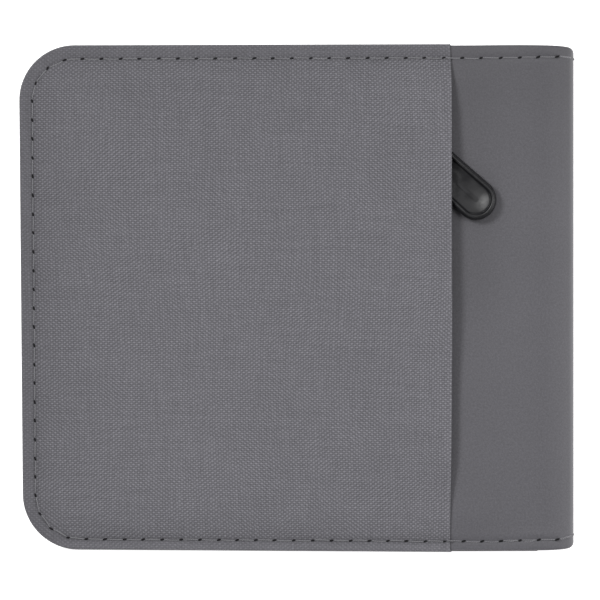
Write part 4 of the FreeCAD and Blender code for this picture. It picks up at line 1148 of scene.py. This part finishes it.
# ------------------------------------------------------------------ inner seams
def flat_seam(path, z, sign, half, jitter=0.08, pitch=PITCH, radius=0.14):
    """Stitches on a flat inner panel; sign is the way the panel faces."""
    pts, turns = evenly(path, pitch, jitter)
    parts = []
    for i in range(len(pts) - 1):
        a, b = pts[i], pts[i + 1]
        s = np.array([0.03, 0.09, 0.18, 0.5, 0.82, 0.91, 0.97])
        xy = a[None, :] + (b - a)[None, :] * s[:, None]
        lift = np.interp(s, [0.03, 0.09, 0.18, 0.82, 0.91, 0.97], [-0.2, -0.02, 0.08, 0.08, -0.02, -0.2])
        zz = pinch(xy[:, 0], xy[:, 1], z + sign * lift, half)
        parts.append(tube(np.concatenate([xy, zz[:, None]], 1), radius, 6))
    return parts


def straight(x0, y0, x1, y1):
    n = max(2, int(math.hypot(x1 - x0, y1 - y0) / 0.5))
    return np.stack([np.linspace(x0, x1, n), np.linspace(y0, y1, n)], -1)


for half, sign in (("front", 1), ("back", -1)):
    lo, hi = mm(half + "_inner_panel")
    z = hi[2] if sign > 0 else lo[2]
    m_ = 2.2
    line = [(lo[0] + m_, y) for y in np.arange(hi[1] - 8, lo[1] + CR, -0.5)]
    line += [(lo[0] + CR + (CR - m_) * math.cos(a), lo[1] + CR + (CR - m_) * math.sin(a)) for a in np.linspace(math.pi, 1.5 * math.pi, 40)]
    line += [(x, lo[1] + m_) for x in np.arange(lo[0] + CR + 0.5, hi[0] - 1.2, 0.5)]
    parts = flat_seam(line, z, sign, half)
    parts += flat_seam(straight(lo[0] + 8.5, hi[1] - 2.3, hi[0] - 1.0, hi[1] - 2.3), z + sign * 0.06, sign, half)
    v, f, u = gather(parts)
    obj = outward(build(half + "_inner_seam", v, f, thread_inner, u))
    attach(obj, half + "_half")
    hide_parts(half + "_inner_thread")
    # pocket seams
    parts = []
    names = ["%s_card_pocket_%d" % (half, k) for k in (1, 2, 3) if "%s_card_pocket_%d" % (half, k) in frame["nodes"]]
    for node in names:
        plo, phi = mm(node)
        pz = phi[2] if sign > 0 else plo[2]
        parts += flat_seam(straight(plo[0] + 0.8, phi[1] - 2.3, phi[0] - 0.8, phi[1] - 2.3), pz + sign * 0.03, sign, half, pitch=3.2)
    last = names[-1] if half == "front" else "id_window_frame"
    plo, phi = mm(last)
    pz = phi[2] if sign > 0 else plo[2]
    parts += flat_seam(straight(plo[0] + 1.3, phi[1] - 0.6, plo[0] + 1.3, plo[1] + 3.0), pz, sign, half, pitch=3.2)
    parts += flat_seam(straight(phi[0] - 1.3, phi[1] - 0.6, phi[0] - 1.3, plo[1] + 3.0), pz, sign, half, pitch=3.2)
    parts += flat_seam(straight(plo[0] + 3.0, plo[1] + 1.3, phi[0] - 3.0, plo[1] + 1.3), pz, sign, half, pitch=3.2)
    if half == "front":
        # the upper leaves are caught at their sides as well
        tops = [mm(n)[1] for n in names]
        for upper, lower in ((tops[0], tops[1]), (tops[1], tops[2])):
            for x in (plo[0] + 1.3, phi[0] - 1.3):
                parts += flat_seam(straight(x, upper[1] - 0.6, x, lower[1] + 0.8), upper[2], sign, half, pitch=3.2)
    else:
        hx0, hx1, hy0, hy1, hz = hole_box
        ring = [(hx0 - 1.3, hy0 - 1.3), (hx1 + 1.3, hy0 - 1.3), (hx1 + 1.3, hy1 + 1.3), (hx0 - 1.3, hy1 + 1.3)]
        for k in range(4):
            a, b = ring[k], ring[(k + 1) % 4]
            parts += flat_seam(straight(a[0], a[1], b[0], b[1]), pz + 0.06, sign, half, pitch=3.0)
    v, f, u = gather(parts)
    obj = outward(build(half + "_pocket_seams", v, f, thread_inner, u))
    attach(obj, half + "_half")
    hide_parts(half + "_pocket_thread")


# ------------------------------------------------------------------ lining across the fold
def fold_lining(name, z_end, first):
    lo, hi = mm("front_inner_panel")
    zm = 4.0
    pts = []
    for x in (42.6, 43.4, 44.2):
        pts.append((x, z_end))
    for q in np.linspace(90, 0, 16):
        c, s = math.cos(math.radians(q)), math.sin(math.radians(q))
        pts.append((44.8 + 4.3 * c ** 0.9, zm + (z_end - zm) * s ** 0.9))
    pts = np.array(pts)
    t = np.gradient(pts, axis=0)
    t /= np.linalg.norm(t, axis=1)[:, None]
    nrm = np.stack([-t[:, 1], t[:, 0]], -1)
    y0, y1 = lo[1] + 0.9, hi[1]
    ys = stations(y1 - y0, True, True, 3.0) + y0
    n, m = len(pts), len(ys)
    d = np.minimum(ys - y0, y1 - ys)
    q = 1 - np.clip(d / 0.16, 0, 1)
    h = np.sqrt(np.maximum(1 - q * q, 0)) * 0.14 + 0.01
    ripple = 0.06 * np.sin(ys * 0.31 + 0.5)
    sides = []
    for sgn in (1, -1):
        x = pts[:, 0][:, None] + nrm[:, 0][:, None] * (sgn * h[None, :]) + ripple[None, :] * (nrm[:, 0] ** 2)[:, None]
        z = pts[:, 1][:, None] + nrm[:, 1][:, None] * (sgn * h[None, :])
        sides.append(np.stack([x, np.repeat(ys[None, :], n, 0), z], -1))
    verts = np.concatenate([s_.reshape(-1, 3) for s_ in sides])
    index = np.arange(n * m).reshape(n, m)
    other = index + n * m
    faces = []
    for grid in (index, other):
        a, b, c, e = grid[:-1, :-1], grid[:-1, 1:], grid[1:, 1:], grid[1:, :-1]
        faces.append(np.stack([a, b, c, e], -1).reshape(-1, 4))
    faces += [np.stack([index[:-1, 0], index[1:, 0], other[1:, 0], other[:-1, 0]], -1),
              np.stack([index[:-1, -1], index[1:, -1], other[1:, -1], other[:-1, -1]], -1),
              np.stack([index[0, :-1], index[0, 1:], other[0, 1:], other[0, :-1]], -1),
              np.stack([index[-1, :-1], index[-1, 1:], other[-1, 1:], other[-1, :-1]], -1)]
    path = np.concatenate([[0], np.cumsum(np.linalg.norm(np.diff(pts, axis=0), axis=1))])
    uv = np.stack(np.meshgrid(path, ys, indexing="ij"), -1).reshape(-1, 2)
    obj = build(name, verts, np.concatenate(faces), cloth_pocket, np.concatenate([uv, uv]))
    outward(obj)
    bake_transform(obj)
    return obj


fold_a = fold_lining("fold_lining_front", 1.5, True)
fold_b = fold_lining("fold_lining_back", 6.45, False)
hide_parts("spine_lining")


# ------------------------------------------------------------------ zip
zx = (slider_lo[0] + slider_hi[0]) / 2
for side, sgn in (("left", -1), ("right", 1)):
    lo, hi = mm("zip_tape_" + side)
    rib = (lambda c: lambda x, y, s: 0.05 * np.exp(-((x - c) / 0.3) ** 2) * (1 if s > 0 else 0))(
        hi[0] - 1.4 if side == "left" else lo[0] + 1.4)
    soft_plate("zip_tape_" + side + "_cloth", "zip_tape_" + side, cloth_tape, "back_half", "back", (0.2,) * 4,
               (0, 0, 0.5, 0.5), step=1.6, shape=rib,
               extra_x=(np.array([-0.6, -0.3, -0.15, 0, 0.15, 0.3, 0.6]) + (hi[0] - 1.4 if side == "left" else lo[0] + 1.4)))
    lo, hi = mm("zip_coil_" + side)
    turns = (hi[1] - lo[1]) / 1.16
    count = int(turns * 14)
    a = np.linspace(0, 2 * math.pi * turns, count) + (math.pi if side == "right" else 0)
    cx = (lo[0] + hi[0]) / 2 - sgn * 0.22
    cz = (lo[2] + hi[2]) / 2 + 0.02
    y = np.linspace(lo[1] + 0.25, hi[1] - 0.25, count)
    pts = np.stack([cx + 0.62 * np.cos(a), y, cz + 0.24 * np.sin(a)], -1)
    v, f, u = tube(pts, 0.17, 6)
    obj = outward(build("zip_coil_%s_wire" % side, v, f, nylon_black, u, rigid=True))
    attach(obj, "back_half")
    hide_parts("zip_coil_" + side)

lo, hi = mm("zip_thread")
parts = []
for x, zz in ((lo[0] + 0.22, ZF - 0.12), (hi[0] - 0.22, ZF)):
    pts, turns = evenly(straight(x, hi[1], x, lo[1]), 3.2, 0.08)
    parts += stitch_parts(pts, turns, [float(pinch(px, py, zz, "back")) for px, py in pts], wobble=0.05)
v, f, u = gather(parts)
obj = outward(build("zip_seams", v, f, thread_inner, u))
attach(obj, "back_half")
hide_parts("zip_thread")


# ------------------------------------------------------------------ pull
def puller():
    pivot = np.array(joints["pull_swing"]["pos_m"]) / MM
    lift = np.array(joints["pull_lift"]["pos_m"]) / MM
    u = (lift - pivot)[:2]
    u /= np.linalg.norm(u)
    n = np.array([-u[1], u[0]])
    z0, z1 = pull_lo[2], pull_hi[2]
    thick = z1 - z0
    c0, r0, c1, r1 = 8.6, 3.68, 18.15, 3.84
    ring = 144

    def dish_end(d):
        return 0.44 * np.clip((d - 15.4) / 5.4, 0, 1.1) ** 2

    def capsule(inset):
        """Outline of the two-circle hull, drawn in by inset."""
        a, b = max(r0 - inset, 0.001), max(r1 - inset, 0.001)
        tilt = math.asin((b - a) / (c1 - c0))
        pts = []
        q = ring // 4
        for t in np.linspace(-math.pi / 2 + -tilt, math.pi / 2 + tilt, q * 2 - 8):
            pts.append((c1 + b * math.cos(t), b * math.sin(t)))
        p_a, p_b = np.array(pts[-1]), np.array([c0 + a * math.cos(math.pi / 2 + tilt), a * math.sin(math.pi / 2 + tilt)])
        for i in range(1, 19):
            pts.append(tuple(p_a + (p_b - p_a) * i / 19))
        for t in np.linspace(math.pi / 2 + tilt, 3 * math.pi / 2 - tilt, 44):
            pts.append((c0 + a * math.cos(t), a * math.sin(t)))
        p_a, p_b = np.array(pts[-1]), np.array(pts[0])
        for i in range(1, 19):
            pts.append(tuple(p_a + (p_b - p_a) * i / 19))
        return np.array(pts)
    layers = [(0.70, 0.0), (0.34, 0.05), (0.12, 0.18), (0.02, 0.40), (0.0, 0.70), (0.07, 0.98), (0.20, 1.22), (0.34, 1.42),
              (0.48, 1.55), (0.66, 1.60), (0.82, 1.58), (0.94, 1.50), (1.03, 1.38), (1.08, 1.22), (1.12, 1.02), (1.17, 0.94)]
    rows = [capsule(i) for i, _ in layers]
    heights = [np.full(len(rows[0]), h) for _, h in layers]
    for inset in (1.3, 1.5, 1.75, 2.0, 2.3, 2.6, 2.95, 3.25, 3.45):
        p = capsule(inset)
        # a thumb dish: deepest in the middle, rising towards the round end, with a plain raised disc near the eye
        d = p[:, 0]
        z = 0.92 - 0.36 * (1 - ((3.76 - inset) / 2.66) ** 2) + dish_end(d)
        bd = np.hypot(d - 12.1, p[:, 1])
        z = z + 0.14 * (1 - ss((bd - 1.35) / 0.3))
        rows.append(p)
        heights.append(z)
    m = len(rows[0])
    # the dish's outer rings take the same rise, so that it meets the rim smoothly
    for k, (inset, _) in enumerate(layers):
        if inset >= 1.1:
            heights[k] = heights[k] + dish_end(rows[k][:, 0])
    verts, faces, uvs = [], [], []
    for p, z in zip(rows, heights):
        sag = -0.24 * ss((p[:, :1] - 5.2) / 6.0)
        xy = pivot[None, :2] + p[:, :1] * u[None, :] + (p[:, 1:2] + sag) * n[None, :]
        # thin towards the eye, where it passes under the flap, and bent up a little towards the round end
        full = 0.80 + 0.20 * ss((p[:, :1] - 13.0) / 6.5)
        far = p[:, :1] - 14.0
        rise = 0.5 * (far + np.sqrt(far * far + 1.2)) * math.tan(math.radians(4.6))
        verts.append(np.concatenate([xy, z0 + z[:, None] * full * thick / 1.6 + rise], 1))
        uvs.append(p)
    verts = np.concatenate(verts)
    uvs = np.concatenate(uvs)
    for i in range(len(rows) - 1):
        for k in range(m):
            l = (k + 1) % m
            faces.append((i * m + k, i * m + l, (i + 1) * m + l, (i + 1) * m + k))
    # the innermost slit and the underside are closed
    last = (len(rows) - 1) * m
    faces.append(tuple(last + k for k in range(m)))
    faces.append(tuple(reversed(range(m))))
    body_part = (verts, faces, uvs)
    # the eye: a hollow barrel on the ring's far bar, with a neck into the moulding
    eye_parts = []
    reach = np.linalg.norm((lift - pivot)[:2])
    seg = 28
    vs, fs = [], []
    for r_, w_ in ((0.78, -0.85), (0.78, 0.85), (0.5, 0.85), (0.5, -0.85)):
        for k in range(seg):
            a = k * 2 * math.pi / seg
            vs.append((reach + r_ * math.cos(a), w_, 0.8 + r_ * math.sin(a)))
    for j in range(4):
        jn = (j + 1) % 4
        for k in range(seg):
            l = (k + 1) % seg
            fs.append((j * seg + k, j * seg + l, jn * seg + l, jn * seg + k))
    vs = np.array(vs)
    eye_parts.append((vs, fs))
    # the neck
    nx = [(reach + 0.62, 0.84), (reach + 0.9, 0.9), (5.2, 1.0), (5.7, 1.25)]
    vs, fs = [], []
    for (d, w_) in nx:
        for k in range(16):
            a = k * 2 * math.pi / 16
            c, s = math.cos(a), math.sin(a)
            vs.append((d, w_ * np.sign(c) * abs(c) ** 0.6, 0.8 + 0.62 * np.sign(s) * abs(s) ** 0.6))
    for i in range(len(nx) - 1):
        for k in range(16):
            l = (k + 1) % 16
            fs.append((i * 16 + k, i * 16 + l, (i + 1) * 16 + l, (i + 1) * 16 + k))
    fs.append(tuple(reversed(range(16))))
    fs.append(tuple((len(nx) - 1) * 16 + k for k in range(16)))
    eye_parts.append((np.array(vs), fs))
    parts = [body_part]
    for vs, fs in eye_parts:
        xy = pivot[None, :2] + vs[:, :1] * u[None, :] + vs[:, 1:2] * n[None, :]
        parts.append((np.concatenate([xy, (z0 + vs[:, 2] * thick / 1.6)[:, None]], 1), fs, vs[:, :2]))
    v, f, w = gather(parts)
    obj = outward(build("zip_pull", v, f, rubber_black, w, rigid=True))
    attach(obj, "puller")
    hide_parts("puller")
    return obj


puller()

# the CAD's own metal pieces keep their shape, with softened edges and a lacquer
for node in ("slider_body", "slider_bridge", "pull_ring", "zip_top_stop"):
    obj = frame["nodes"][node]
    obj.data.materials.clear()
    obj.data.materials.append(metal_black)
    if node != "pull_ring":
        mod = obj.modifiers.new("soft_edges", "BEVEL")
        mod.width = 0.12 * MM
        mod.segments = 2
        mod.limit_method = "ANGLE"
        mod.angle_limit = math.radians(40)
obj = frame["nodes"]["zip_bottom_stop"]
obj.data.materials.clear()
obj.data.materials.append(nylon_black)


# ------------------------------------------------------------------ floor, light, camera
def floor_material():
    n = Nodes("studio_floor")
    at = n.scaled(n.add("ShaderNodeTexCoord").outputs["Object"], (1.0, 1.0, 1.0))
    soft = n.noise(at, 3.0, 2.0)
    colour = n.tone((0.93, 0.93, 0.93, 1.0), n.range(soft, 0.3, 0.7, 0.995, 1.005))
    return n.finish(colour, 0.9, None, Specular_IOR_Level=0.1, Emission_Color=(1.0, 1.0, 1.0, 1.0), Emission_Strength=0.72)


bm = bmesh.new()
size = 30.0
for x, y in ((-size, -size), (size, -size), (size, size), (-size, size)):
    bm.verts.new((x, y, -0.00002))
bm.faces.new(bm.verts)
mesh = bpy.data.meshes.new("floor")
bm.to_mesh(mesh)
bm.free()
mesh.materials.append(floor_material())
mesh.materials[0].cycles.emission_sampling = "NONE"
floor = bpy.data.objects.new("floor", mesh)
bpy.context.scene.collection.objects.link(floor)

world = bpy.data.worlds.new("studio")
bpy.context.scene.world = world
world.use_nodes = True
world.node_tree.nodes["Background"].inputs[0].default_value = (1.0, 1.0, 1.0, 1.0)
world.node_tree.nodes["Background"].inputs[1].default_value = 0.24


def area(name, place, aim, size, power, size_y=None):
    light = bpy.data.lights.new(name, "AREA")
    light.energy = power
    light.size = size
    if size_y:
        light.shape = "RECTANGLE"
        light.size_y = size_y
    obj = bpy.data.objects.new(name, light)
    obj.location = place
    obj.rotation_euler = (Vector(aim) - Vector(place)).to_track_quat("-Z", "Y").to_euler()
    bpy.context.scene.collection.objects.link(obj)
    return obj


area("key_light", (-0.36, 0.27, 0.60), (0, 0, 0.01), 0.20, 3.9)
area("right_light", (0.33, 0.10, 0.63), (0, 0, 0.01), 0.30, 1.75)
area("top_light", (0.06, 0.46, 0.56), (0, 0, 0.01), 0.34, 0.55)
area("low_light", (-0.16, -0.50, 0.50), (0, 0, 0.01), 0.34, 0.60)
area("side_light", (0.64, -0.04, 0.30), (0, 0, 0.01), 0.30, 1.5)

camera = bpy.data.cameras.new("camera")
eye = bpy.data.objects.new("camera", camera)
bpy.context.scene.collection.objects.link(eye)
distance = 1.50
camera.sensor_width = 36.0
camera.lens = 36.0 * distance / (0.11257 / 1.003)
eye.location = (0.00044, -0.00041, ZT * MM + distance)
eye.rotation_euler = (0, 0, 0)
camera.clip_start = 0.01
bpy.context.scene.camera = eye
bpy.context.scene.view_settings.view_transform = "Standard"
bpy.context.scene.view_settings.look = "None"

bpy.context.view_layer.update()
